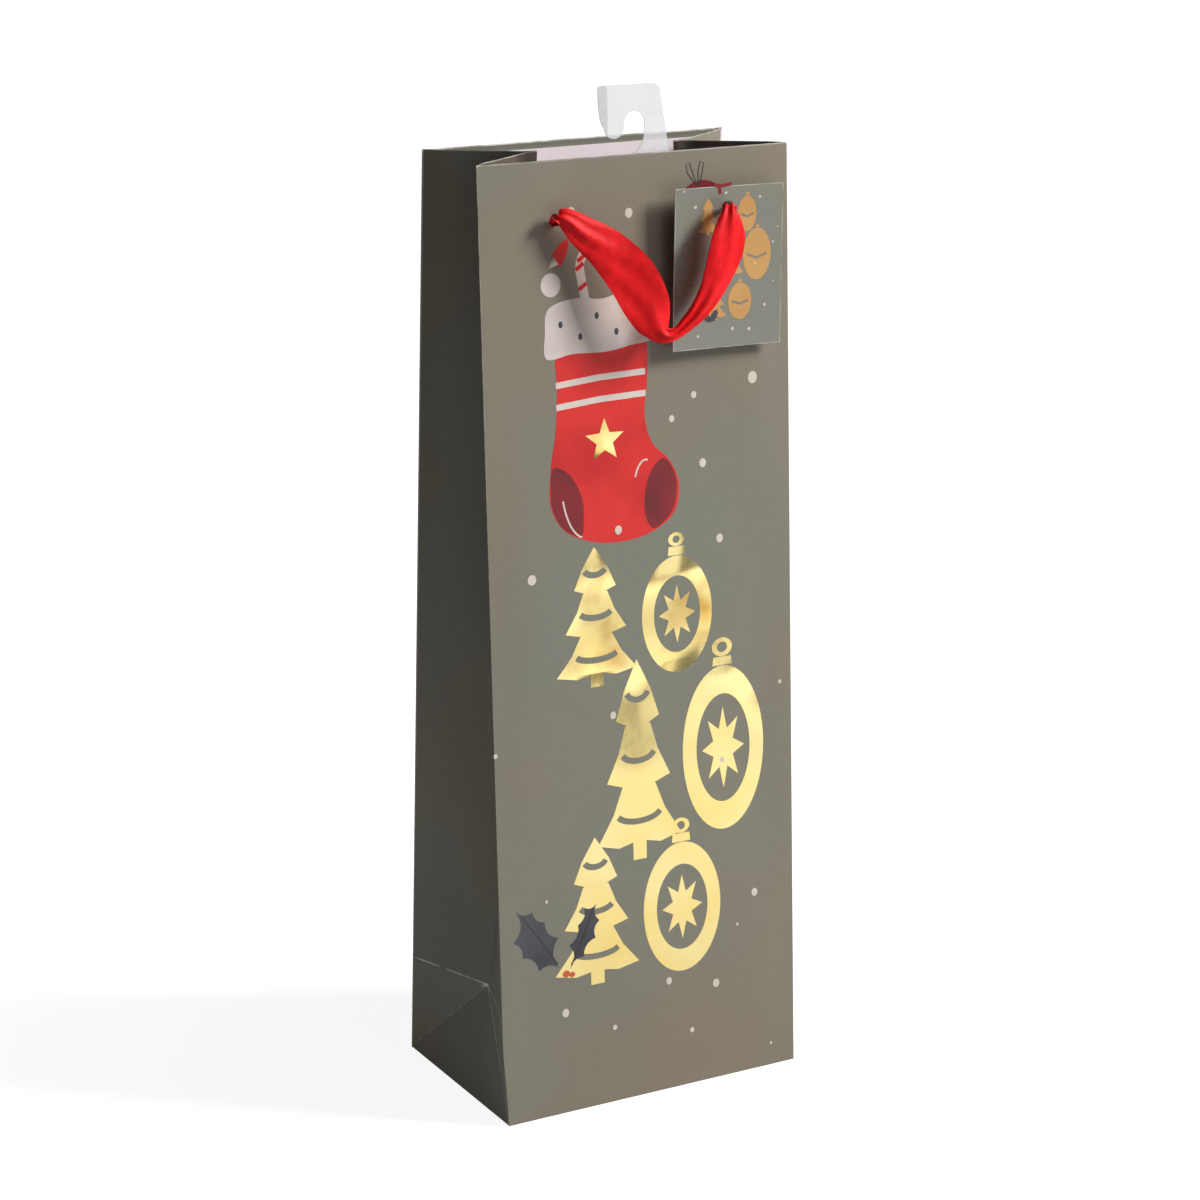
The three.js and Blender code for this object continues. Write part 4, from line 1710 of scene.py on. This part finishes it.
def oval(x: float, y: float, half_x: float, half_y: float, count: int = 40) -> Outline:
    """An oval outline."""
    turns = [2 * math.pi * k / count for k in range(count)]
    return [(x + half_x * math.cos(t), y + half_y * math.sin(t)) for t in turns]


def rounded(points: Sequence[Point2], per: int = 6) -> Outline:
    """A closed smooth outline through points.

    Args:
        points: the points in order.
        per: how many points of the outline each stretch gets.

    Returns:
        The outline.
    """
    made = []
    count = len(points)
    for i in range(count):
        four = [Vector(points[(i + d) % count]) for d in (-1, 0, 1, 2)]
        for k in range(per):
            at = spline(four, k / per)
            made.append((at.x, at.y))
    return made


def star(x: float, y: float, radius: float, count: int = 5, inner: float = 0.42) -> Outline:
    """A star outline with a point upwards.

    Args:
        x: its middle, across.
        y: its middle, up.
        radius: from the middle to a point.
        count: how many points it has.
        inner: from the middle to a notch, as a share of the radius.

    Returns:
        The outline.
    """
    made = []
    for k in range(2 * count):
        reach = radius * (1 if k % 2 == 0 else inner)
        turn = math.pi / 2 + math.pi * k / count
        made.append((x + reach * math.cos(turn), y + reach * math.sin(turn)))
    return made


def stroke(points: Sequence[Point2], width: float) -> Outline:
    """The outline of a thin line through points.

    Args:
        points: the points in order.
        width: the line's width.

    Returns:
        The outline.
    """
    left, right = [], []
    for i, (x, y) in enumerate(points):
        before, after = points[max(0, i - 1)], points[min(len(points) - 1, i + 1)]
        run = Vector((after[0] - before[0], after[1] - before[1])).normalized() * width / 2
        left.append((x - run.y, y + run.x))
        right.append((x + run.y, y - run.x))
    return left + right[::-1]


def arc(
    x: float, y: float, half_x: float, half_y: float, start: float, end: float, count: int = 14
) -> Outline:
    """Points along part of an oval, between two angles in degrees."""
    turns = [math.radians(start + (end - start) * k / count) for k in range(count + 1)]
    return [(x + half_x * math.cos(t), y + half_y * math.sin(t)) for t in turns]


@dataclass(frozen=True)
class Fir:
    """A stylised fir tree in three tiers."""

    x: float
    foot: float
    half: float
    height: float

    def outlines(self) -> list[Outline]:
        """The tree and the cuts of its garlands.

        Returns:
            The outlines.
        """
        trunk = self.height * 0.09
        tier = (self.height - trunk) / 3
        right: list[Point2] = [(self.half * 0.16, 0), (self.half * 0.16, trunk)]
        for k in range(3):
            base = trunk + k * tier
            reach = self.half * (1 - 0.24 * k)
            right += [(reach * 0.5, base - tier * 0.06), (reach, base + tier * 0.04)]
            right += [(reach * 0.62, base + tier * 0.5)]
            if k < 2:
                right += [(reach * 0.4, base + tier * 0.93)]
        shape = [(self.x + x, self.foot + y) for x, y in right] + [(self.x, self.foot + self.height)]
        shape += [(self.x - x, self.foot + y) for x, y in reversed(right)]
        cuts = []
        for k in range(3):
            base = self.foot + trunk + (k + 0.38) * tier
            reach = self.half * (0.52 - 0.13 * k)
            sag = arc(self.x, base + tier * 0.12, reach, tier * 0.16, 195, 345, 10)
            cuts.append(stroke(sag, 2.4))
        return [shape, *cuts]


@dataclass(frozen=True)
class Bauble:
    """An oval bauble with a star in a window, a cap and a ring."""

    x: float
    y: float
    half_x: float
    half_y: float

    def outlines(self) -> list[Outline]:
        """The bauble's parts.

        Returns:
            The outlines of the ball, its window, the star in that, the cap, the ring and the ring's hole.
        """
        x, y, hx, hy = self.x, self.y, self.half_x, self.half_y
        ball = hy * 0.86
        middle = y - (hy - ball)
        window = oval(x, middle, hx * 0.66, ball * 0.66, 48)
        gem = [(x + a * hx * 0.52, middle + b * ball * 0.5) for a, b in star(0, 0, 1.0, 8, 0.5)]
        made = [oval(x, middle, hx, ball, 56), window, gem]
        top = middle + ball + 0.5
        cap = hx * 0.24
        neck = 0.9 * cap
        made.append([(x - cap, top - 0.3), (x + cap, top - 0.3), (x + neck, top + 3), (x - neck, top + 3)])
        ring = top + 3.4 + hy * 0.09
        made.append(oval(x, ring, hy * 0.09 + 1.1, hy * 0.09 + 0.3, 20))
        made.append(oval(x, ring, hy * 0.06, hy * 0.055, 16))
        return made


def scalloped(spines: Sequence[Point2], bow: float = 0.2, per: int = 5) -> Outline:
    """A leaf outline with a hollow edge between each spine and the next.

    Args:
        spines: the spines' tips in order around the leaf, anticlockwise.
        bow: how deep each hollow is, as a share of its length.
        per: how many points each hollow has.

    Returns:
        The outline.
    """
    made = []
    for (ax, ay), (bx, by) in zip(spines, [*spines[1:], spines[0]]):
        for k in range(per):
            t = k / per
            dip = 4 * t * (1 - t) * bow
            made.append((ax + (bx - ax) * t - (by - ay) * dip, ay + (by - ay) * t + (bx - ax) * dip))
    return made


def rotated(outline: Sequence[Point2], x: float, y: float, angle: float) -> Outline:
    """An outline turned about the origin, in degrees, then moved."""
    c, s = math.cos(math.radians(angle)), math.sin(math.radians(angle))
    return [(x + a * c - b * s, y + a * s + b * c) for a, b in outline]


@dataclass(frozen=True)
class Ink:
    """Prints shapes as films a few hundredths of a millimetre thick on a sheet."""

    place: Callable[[float, float, float], Vector]  # across, out of the sheet, along
    body: str
    slot: Slot
    base: float = 0.0  # from the sheet's place to its face
    sink: float = 0.02  # how far the ink goes into the face

    def press(
        self, name: str, material: Material, shapes: Sequence[Sequence[Outline]], lift: float
    ) -> None:
        """Prints shapes in one colour.

        Args:
            name: the piece's name.
            material: its colour.
            shapes: each shape's outlines.
            lift: how far its face stands off the paper.
        """
        layout = Layout()
        for outlines in shapes:
            layout.add(filled(outlines))

        def film(x: float, along: float, depth: float) -> Vector:
            """A point of the ink's film, in metres."""
            return self.place(x, self.base + lift - depth, along)

        made = sheet(name, layout, film, lift + self.sink, [material] * 3)
        seat(made, self.body, self.slot)


@dataclass
class FrontPrint:
    """The festive print on the front: gold trees and baubles, a stocking, holly and snow."""

    palette: Palette
    ink: Ink = Ink(Panel(End.FRONT).place, "front", Slot.PRINT)
    snow: tuple[tuple[float, float, float], ...] = (
        (-4, 339, 1.5), (-27.4, 341, 1.5), (47.3, 274, 1.9), (22, 270, 1.1), (12.5, 262, 1.1),
        (25.5, 244, 1.4), (-11, 223, 1.4), (32.5, 214.5, 1.4), (-47.6, 209, 1.6), (-63, 145, 0.8),
        (46, 72.6, 1.3), (7, 44, 1.2), (28, 39, 1.4), (-38, 40, 1.4), (-17, 30, 0.9),
        (17, 22, 0.9), (38, 61, 0.5), (53, 9, 0.5), (-45, 85.5, 0.5), (58.5, 155, 0.7),
    )
    snow_by_foil: tuple[tuple[float, float, float], ...] = ((-15.0, 153, 1.2), (32.5, 128, 0.9))

    def build(self) -> None:
        """Prints every motif."""
        self.trees()
        self.stocking()
        self.cuff()
        self.cane()
        self.holly()
        self.small_bauble()
        self.drop_and_snow()

    def trees(self) -> None:
        """Prints the gold trees and baubles in three rows."""
        firs = [Fir(-21.5, 165, 17, 53), Fir(-4.5, 95, 18, 78), Fir(-24, 49, 18, 58)]
        balls = [Bauble(13.5, 191.5, 15.2, 26), Bauble(33, 138, 18, 37.5), Bauble(13.5, 77, 17, 30)]
        self.ink.press("print_gold_trees", self.palette.foil, [f.outlines() for f in firs], 0.05)
        for k, ball in enumerate(balls):
            parts = ball.outlines()
            shapes = [parts[:2], [parts[2]], [parts[3]], parts[4:]]
            self.ink.press(f"print_gold_bauble_{k + 1}", self.palette.foil, shapes, 0.05)

    def stocking(self) -> None:
        """Prints the stocking with its patches."""
        leg = rounded(
            [
                (-34, 291), (-16, 293), (1, 294), (2.5, 279), (1, 265), (4, 254),
                (11, 247), (15, 238), (13, 227), (3, 220.5), (-10, 218.5), (-22, 220),
                (-33, 225), (-39, 235), (-38.5, 249), (-36, 263), (-35, 278),
            ]
        )
        self.ink.press("print_stocking", self.palette.red, [[leg]], 0.04)
        heel = rounded(
            [
                (-38.8, 240), (-37.6, 249), (-31, 246), (-26, 237),
                (-25.5, 228), (-27, 222.4), (-34, 226.3), (-38, 233),
            ]
        )
        toe = rounded(
            [(9.2, 247.6), (14, 239.5), (12.6, 228.5), (4.6, 221.8), (0.6, 227), (0.8, 237), (4, 244.5)]
        )
        self.ink.press("print_stocking_patches", self.palette.wine, [[heel], [toe]], 0.055)

    def cuff(self) -> None:
        """Prints the stocking's cuff with its pompom, and the bands, stitches and star."""
        cuff = rounded(
            [
                (-39, 289), (-39.5, 298), (-38, 307), (-27, 310), (-15, 309), (-4, 312),
                (6, 311), (7.5, 302), (6.5, 293), (-4, 291), (-15, 289.5), (-28, 290),
            ]
        )
        bands = [stroke([(-35.6, y), (-18, y + 1.4), (1.6, y + 1.8)], 2.3) for y in (271, 279)]
        curves = [arc(-25, 244, 9.5, 22, 200, 262, 8), arc(1, 236, 5.2, 12, 80, 150, 8)]
        stitches = [stroke(curve, 0.7) for curve in curves]
        pompom = oval(-36.7, 315.6, 4.1, 4.3)
        pale = [[one] for one in (cuff, pompom, *bands, *stitches)]
        self.ink.press("print_cuff", self.palette.cream, pale, 0.07)
        spots = [(-33, 301), (-25, 296), (-18, 303), (-10, 296.5), (-3, 304), (2.5, 297)]
        ovals = [[oval(x, y, 0.9, 1.3, 12)] for x, y in spots]
        self.ink.press("print_cuff_spots", self.palette.slate, ovals, 0.085)
        self.ink.press("print_stocking_star", self.palette.foil, [[star(-16, 257, 8.4)]], 0.075)

    def cane(self) -> None:
        """Prints the striped cane in the stocking."""
        cane = [(-22, 306), (-23.5, 314), (-24.5, 320), *arc(-19, 321, 5.5, 6.5, 178, 10, 12)]
        self.ink.press("print_cane", self.palette.cream, [[stroke(cane, 3.6)]], 0.045)
        bars = [stroke([(x - 1.6, y - 1.1), (x + 1.6, y + 1.1)], 1.6) for x, y in cane[1:-1:2]]
        self.ink.press("print_cane_bars", self.palette.red, [[b] for b in bars], 0.06)

    def holly(self) -> None:
        """Prints the two holly leaves, their veins and the berries."""
        leaves = [
            [
                (-40.3, 58.4), (-40.5, 70.5), (-46.0, 77.6), (-50.6, 82.4),
                (-57.0, 84.0), (-58.0, 71.6), (-54.8, 65.2), (-48.6, 58.8),
            ],
            [
                (-35.8, 56.9), (-29.8, 61.0), (-24.6, 67.6), (-22.8, 74.2),
                (-24.0, 80.8), (-29.2, 80.2), (-32.0, 73.8), (-35.8, 66.6),
            ],
        ]
        veins = [[(-40.9, 60.0), (-47.6, 70.4), (-54.6, 81.2)], [(-35.2, 58.6), (-30.2, 68.4), (-25.6, 79.0)]]
        self.ink.press("print_holly", self.palette.slate, [[scalloped(leaf)] for leaf in leaves], 0.07)
        berries = [oval(-37.4, 55.5, 1.6, 1.4, 16), oval(-34.9, 54.8, 1.2, 1.1, 16)]
        lines = [[stroke(vein, 0.45)] for vein in veins]
        self.ink.press("print_holly_veins", self.palette.line, lines, 0.085)
        self.ink.press("print_holly_berries", self.palette.berry, [[b] for b in berries], 0.085)

    def small_bauble(self) -> None:
        """Prints the small bauble behind the tag, with its thin bow."""
        self.ink.press("print_small_bauble", self.palette.wine, [[oval(26.8, 338.8, 10.4, 9.9)]], 0.04)
        loops = [
            [(24.6, 346.6), (20.6, 351.6), (20.2, 354.6), (21.6, 355.2), (24.0, 348.4), (25.0, 346.8)],
            [(25.2, 346.6), (25.2, 352.0), (26.2, 355.4), (27.6, 354.8), (26.8, 350.6), (25.6, 346.8)],
        ]
        lines = [[stroke(loop, 0.4)] for loop in loops]
        self.ink.press("print_small_bauble_bow", self.palette.line, lines, 0.05)

    def drop_and_snow(self) -> None:
        """Prints the pointed drop over the pompom, and the snow."""
        points = [(-28.9, 331.4), (-33.4, 329.2), (-36.2, 325), (-35.4, 322.6), (-32.2, 322.2), (-30, 326)]
        drop = rounded(points)
        self.ink.press("print_drop", self.palette.red, [[drop]], 0.04)
        tip = [(-35.6, 326.2), (-33.1, 322.8), (-37.6, 321.4)]
        self.ink.press("print_drop_tip", self.palette.snow, [[tip]], 0.055)
        dots = [[oval(x, y, r * 1.02, r * 1.22, 20)] for x, y, r in (*self.snow, *self.snow_by_foil)]
        self.ink.press("print_snow", self.palette.snow, dots, 0.06)


# ---- Gift tag and hang hook


@dataclass
class GiftTag:
    """A card tag on the front ribbon, printed like the bag."""

    palette: Palette
    width: float = 46.2
    height: float = 59.2
    thickness: float = 0.5
    hole_radius: float = 2.75
    hole_drop: float = 8.0
    slant: float = -1.0
    shift: float = 0.45  # of its middle from its hole
    stand_off: float = 6.0
    twist: float = 0.5
    tilt: float = 2.0
    cut: float = 0.3  # the width of its worn edge

    def point(self, x: float, out: float, up: float) -> Vector:
        """A point of the tag, which curls a little.

        Args:
            x: across, from its hole.
            out: away from the bag.
            up: along the tag, from its hole.

        Returns:
            The point, in metres.
        """
        curl = 0.35 * (x / 24) ** 2 + 0.25 * smooth((-up - 20) / 30)
        local = Matrix.Rotation(math.radians(-self.slant), 3, "Y") @ Vector((x, -(out + curl), up))
        local = Matrix.Rotation(math.radians(self.twist), 3, "Z") @ local
        local = Matrix.Rotation(math.radians(self.tilt), 3, "X") @ local
        x, out, up = SIZE.hole_spacing / 2 + local.x, self.stand_off - local.y, SIZE.hole_height + local.z
        return Panel(End.FRONT).flat(x, out, up)

    def build(self) -> Piece:
        """Makes the card and its print.

        Returns:
            The card.
        """
        half, top = self.width / 2, self.hole_drop
        low = top - self.height
        left, right = self.shift - half, self.shift + half
        columns = stops(left, right, 3.5, [left + self.cut, *AROUND_HOLE, right - self.cut])
        rows = stops(low, top, 3.5, [low + self.cut, *AROUND_HOLE, top - self.cut])
        layout = pierced(columns, rows, [(0.0, 0.0)], self.hole_radius)

        def wear(x: float, up: float) -> float:
            """The worn line along the card's edge."""
            edge = min(x - left, right - x, up - low, top - up)
            return max(0.0, 1.1 * (1 - edge / self.cut))

        def place(x: float, up: float, depth: float) -> Vector:
            """A point of the card, in metres."""
            return self.point(x, self.thickness / 2 - depth, up)

        dress = [self.palette.tag, self.palette.tag, self.palette.tag_edge]
        card = sheet("gift_tag_card", layout, place, self.thickness, dress, wear)
        seat(card, "tag", Slot.TAG, "gift_tag")
        self.print_face()
        return card

    def print_face(self) -> None:
        """Prints the tag's small trees, baubles and snow."""
        ink = Ink(self.point, "tag", Slot.TAG, self.thickness / 2)
        firs = [Fir(-8.5, -9.5, 4.4, 13.5), Fir(2.5, -25.5, 4.6, 15), Fir(-5, -41, 5.2, 14)]
        ink.press("tag_print_trees", self.palette.ochre, [f.outlines()[:1] for f in firs], 0.05)
        shapes = []
        for x, y, hx, hy in ((8.2, -2.5, 4.0, 6.6), (12.8, -17.5, 6.0, 9.6), (5.8, -34.5, 5.0, 6.8)):
            band = stroke([(x - hx * 0.7, y), (x, y - hy * 0.16), (x + hx * 0.7, y)], 0.9)
            low, high = y + hy + 0.15, y + hy + 1.2
            cap = [(x - 0.9, low), (x + 0.9, low), (x + 0.8, high), (x - 0.8, high)]
            shapes += [[oval(x, y, hx, hy, 32), band], [cap]]
        ink.press("tag_print_baubles", self.palette.ochre, shapes, 0.05)
        spines = [(0, 0), (1.3, 1.1), (1.5, 2.8), (1.2, 4.4), (0, 5.8), (-1.2, 4.2), (-1.5, 2.6), (-1.2, 1.0)]
        leaves = [scalloped(rotated(spines, -6.6, -41.6, turn), 0.16) for turn in (-30, 42)]
        ink.press("tag_print_holly", self.palette.slate, [[leaf] for leaf in leaves], 0.07)
        red = [stroke([(-6, 8.6), (-2.6, 8.2), (1.4, 8.8)], 1.3), stroke([(-4.2, 8.6), (-3.4, 5.2)], 1.5)]
        ink.press("tag_print_ribbon", self.palette.wine, [[one] for one in red], 0.05)
        dots = [
            (-14, 1, 0.55), (-1, 5.6, 0.5), (13.6, 3.4, 0.5), (-19, 7, 0.35),
            (19.5, -13.5, 0.4), (21.5, -8, 0.3), (12.2, -21, 0.4), (16.5, -36.6, 0.6),
            (2.8, -44.6, 0.6), (10, -45.2, 0.6), (-12, -46.4, 0.5), (20, -28, 0.3),
        ]
        ink.press("tag_print_snow", self.palette.snow, [[oval(x, y, r, r, 14)] for x, y, r in dots], 0.06)


@dataclass
class HangHook:
    """A flat J of clear plastic stuck inside the front, by which the bag hangs."""

    palette: Palette
    thickness: float = 0.5
    rise: float = 24.5
    head_left: float = -14.4
    head_right: float = 11.0
    stem_right: float = 14.6
    slot_centre: float = 0.3
    slot_radius: float = 4.3
    slot_top: float = 15.0
    leg_tip: float = 5.5
    leg_radius: float = 4.0
    throat: float = 2.0
    shoulder: float = 6.6
    base_half: float = 15.5
    base_depth: float = 19.0
    corner: float = 2.2

    @staticmethod
    def curve(a: Point2, b: Point2, c: Point2, count: int = 10) -> Outline:
        """Points along a curve that leaves one point towards a second and ends in a third.

        Args:
            a: where it starts, which isn't among the points.
            b: what it makes for.
            c: where it ends.
            count: how many points it has.

        Returns:
            The points.
        """
        made = []
        for k in range(1, count + 1):
            t = k / count
            made.append(tuple((1 - t) ** 2 * a[i] + 2 * t * (1 - t) * b[i] + t * t * c[i] for i in (0, 1)))
        return made

    def outline(self) -> Outline:
        """The hook's outline, with its zero height at the rim.

        Returns:
            The outline.
        """
        left, right = self.slot_centre - self.slot_radius, self.slot_centre + self.slot_radius
        arch = self.slot_top - self.slot_radius
        leg_x, leg_y = left - self.leg_radius, self.leg_tip + self.leg_radius
        base, top = self.base_half, self.rise
        made: Outline = [(-base, -self.base_depth), (base, -self.base_depth)]
        made += [(base, -self.corner), (self.stem_right, 0)]
        ease = 1.4 * self.corner
        made += [(self.head_right + 0.3, top - ease)]
        made += self.curve(made[-1], (self.head_right, top), (self.head_right - ease, top), 10)
        made += [(self.head_left + 1.2, top), (self.head_left + 0.3, top - 0.4), (self.head_left, top - 1.4)]
        made += self.curve(made[-1], (self.head_left, arch), (leg_x - self.leg_radius, leg_y), 12)
        made += arc(leg_x, leg_y, self.leg_radius, self.leg_radius, 180, 360, 20)[1:]
        made += arc(self.slot_centre, arch, self.slot_radius, self.slot_radius, 180, 0, 24)
        made += self.curve((right, arch), (right, self.throat), (self.slot_centre, 0), 12)
        made += [(-base, -self.shoulder)]
        return made

    def inner_face(self) -> float:
        """How deep inside the front panel the hook's outer face lies, from its solid's box.

        Returns:
            The depth, in millimetres.
        """
        low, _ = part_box("hang_hook")
        foot_y, foot_z = low[1] / MM, low[2] / MM
        lean = SIZE.lean
        up = (foot_z + SIZE.paper * math.sin(lean)) / math.cos(lean)
        return (foot_y + SIZE.gusset) / math.cos(lean) - up * math.tan(lean)

    def build(self) -> None:
        """Makes the hook and gives its pad, which shows as it is, the board's finish."""
        panel, inner = Panel(End.FRONT), self.inner_face()

        def place(x: float, up: float, depth: float) -> Vector:
            """A point of the hook, in metres."""
            return panel.flat(x, -inner - depth, SIZE.length + up)

        dress = [self.palette.plastic, self.palette.plastic, self.palette.plastic_edge]
        made = sheet("hook_plastic", filled([self.outline()], 9.0), place, self.thickness, dress)
        seat(made, "front", Slot.PLASTIC, "hang_hook")
        for slot in bpy.data.objects["hook_pad"].material_slots:
            slot.material = self.palette.board


# ---- Studio


@dataclass
class Studio:
    """The camera, the pale floor and the soft lights."""

    eye: tuple[float, float, float] = (-0.575, -1.016, 0.524)
    aim: tuple[float, float, float] = (0.4721, 0.8367, -0.2775)
    roll: float = 0.23
    lens: float = 95.9
    middle: tuple[float, float, float] = (0.0, 0.0, 0.19)  # what the lamps look at
    dim: float = 0.035  # the world's strength as a light
    floor_radius: float = 3.2
    floor_gap: float = 0.0002  # from the floor to the bag's bottom

    def camera(self) -> None:
        """Sets up the camera."""
        data = bpy.data.cameras.new("camera")
        data.lens, data.sensor_width, data.sensor_fit = self.lens, 36.0, "HORIZONTAL"
        data.clip_start, data.clip_end = 0.05, 30.0
        made = bpy.data.objects.new("camera", data)
        bpy.context.scene.collection.objects.link(made)
        turn = Vector(self.aim).to_track_quat("-Z", "Y").to_matrix().to_4x4()
        spin = Matrix.Rotation(math.radians(self.roll), 4, "Z")
        made.matrix_world = Matrix.Translation(self.eye) @ turn @ spin
        bpy.context.scene.camera = made

    def lamp(
        self, name: str, at: Sequence[float], size: float, power: float, tint: Sequence[float] = (1, 1, 1)
    ) -> None:
        """Adds a soft square lamp that looks at the bag's middle.

        Args:
            name: the lamp's name.
            at: where it stands.
            size: the length of its side.
            power: its power in watts.
            tint: its colour.
        """
        data = bpy.data.lights.new(name, "AREA")
        data.shape, data.size, data.energy = "SQUARE", size, power
        data.color = tint
        made = bpy.data.objects.new(name, data)
        bpy.context.scene.collection.objects.link(made)
        aim = Vector(self.middle) - Vector(at)
        made.matrix_world = Matrix.Translation(at) @ aim.to_track_quat("-Z", "Y").to_matrix().to_4x4()

    def light(self) -> None:
        """Adds the lamps and the pale world, which looks bright but lights little."""
        self.lamp("key_lamp", (1.35, -0.9, 1.2), 0.5, 38.0, (1.0, 0.985, 0.96))
        self.lamp("front_lamp", (0.3, -1.7, 0.45), 0.7, 1.5, (0.98, 0.99, 1.0))
        self.lamp("top_lamp", (0.95, -0.55, 1.2), 0.3, 6.0)
        world = bpy.data.worlds.new("studio")
        bpy.context.scene.world = world
        g = Graph(world)
        path = g.node("ShaderNodeLightPath").outputs
        strength = g.plus(g.times(self.seen(g, path), 1 - self.dim), self.dim)
        strength = g.plus(g.times(path["Is Glossy Ray"], 0.12), strength)
        back = g.feed(g.node("ShaderNodeBackground"), Color=(1, 1, 1, 1), Strength=strength)
        g.end("ShaderNodeOutputWorld", back)

    def seen(self, g: Graph, path: bpy.types.NodeOutputs) -> Socket:
        """Whether a ray comes from the camera, straight or through something clear."""
        return g.math("MINIMUM", g.plus(path["Is Camera Ray"], path["Is Transmission Ray"]), 1.0)

    def floor_finish(self) -> Material:
        """Makes the floor's finish: nearly white, with a faint shadow, and clear from below.

        Returns:
            The material.
        """
        g = Graph.material("studio_floor")
        path = g.node("ShaderNodeLightPath").outputs
        place = g.place()
        x, y, _ = g.split(place)
        far = g.feed(g.node("ShaderNodeVectorMath", operation="LENGTH"), i0=place).outputs["Value"]
        glow = g.plus(g.times(g.ramp(far, 0.12, 0.5), 0.11), 0.9)
        ahead = g.ramp(g.math("SUBTRACT", g.times(x, 0.5), y), -0.3, 0.6)
        fade = g.times(g.ramp(far, 3.0, 0.9), 0.65)
        shine = g.times(path["Is Glossy Ray"], g.times(ahead, fade))
        near = g.math("SUBTRACT", 1.0, g.ramp(far, 0.08, 0.45))
        aside = g.plus(g.times(g.ramp(x, -0.04, -0.16), 0.6), 0.12)
        bounce = g.times(path["Is Diffuse Ray"], g.times(near, aside))
        lit = g.plus(g.times(self.seen(g, path), glow), g.plus(shine, bounce))
        matt = g.feed(g.node("ShaderNodeBsdfDiffuse"), Color=(0.55, 0.55, 0.55, 1))
        bright = g.feed(g.node("ShaderNodeEmission"), Strength=lit)
        top = g.feed(g.node("ShaderNodeAddShader"), i0=matt.outputs[0], i1=bright.outputs[0])
        below = g.node("ShaderNodeNewGeometry").outputs["Backfacing"]
        clear = g.node("ShaderNodeBsdfTransparent").outputs[0]
        return g.end(
            "ShaderNodeOutputMaterial",
            g.feed(g.node("ShaderNodeMixShader"), i0=below, i1=top.outputs[0], i2=clear),
        )

    def floor(self) -> None:
        """Adds the round pale floor."""
        made = bmesh.new()
        bmesh.ops.create_circle(made, cap_ends=True, segments=96, radius=self.floor_radius)
        ground = to_object("studio_floor", made, [self.floor_finish()])
        ground.location.z = -self.floor_gap

    def view(self) -> None:
        """Sets the plain view transform."""
        bpy.context.scene.view_settings.view_transform = "Standard"


def main() -> None:
    """Builds the bag in order: camera and ribbons, paper, print, tag, hook, then the studio."""
    logging.basicConfig(level=logging.INFO, format="%(name)s: %(message)s")
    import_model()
    studio = Studio()
    studio.camera()
    palette = Palette()

    front, back = Panel(End.FRONT), Panel(End.BACK)
    tag = GiftTag(palette)
    front_handle = RibbonHandle(front, FRONT_ROUTE, palette, ((-34.0, 4.6), (34.4, 12.4)))
    back_handle = RibbonHandle(back, BACK_ROUTE, palette, ((-34.0, 4.6), (34.0, 4.6)))
    front_ribbon, back_ribbon = front_handle.build(), back_handle.build()
    hole = SIZE.hole_spacing / 2
    knots = {
        node: RibbonKnot(node, panel, x, palette).build()
        for node, panel, x in (
            ("front_knot_left", front, -hole),
            ("front_knot_right", front, hole),
            ("back_knot_left", back, hole),
            ("back_knot_right", back, -hole),
        )
    }
    card = tag.build()
    front_handle.declare(front_ribbon)
    back_handle.declare(back_ribbon)

    PanelWithHem(front, palette).build()
    PanelWithHem(back, palette).build()
    SeamFlap(palette).build()
    for side in (Side.LEFT, Side.RIGHT):
        FoldedSide(side, palette).build()
    Floor(palette).build()
    FrontPrint(palette).build()
    HangHook(palette).build()

    studio.floor()
    studio.light()
    studio.view()


if __name__ == "__main__":
    main()
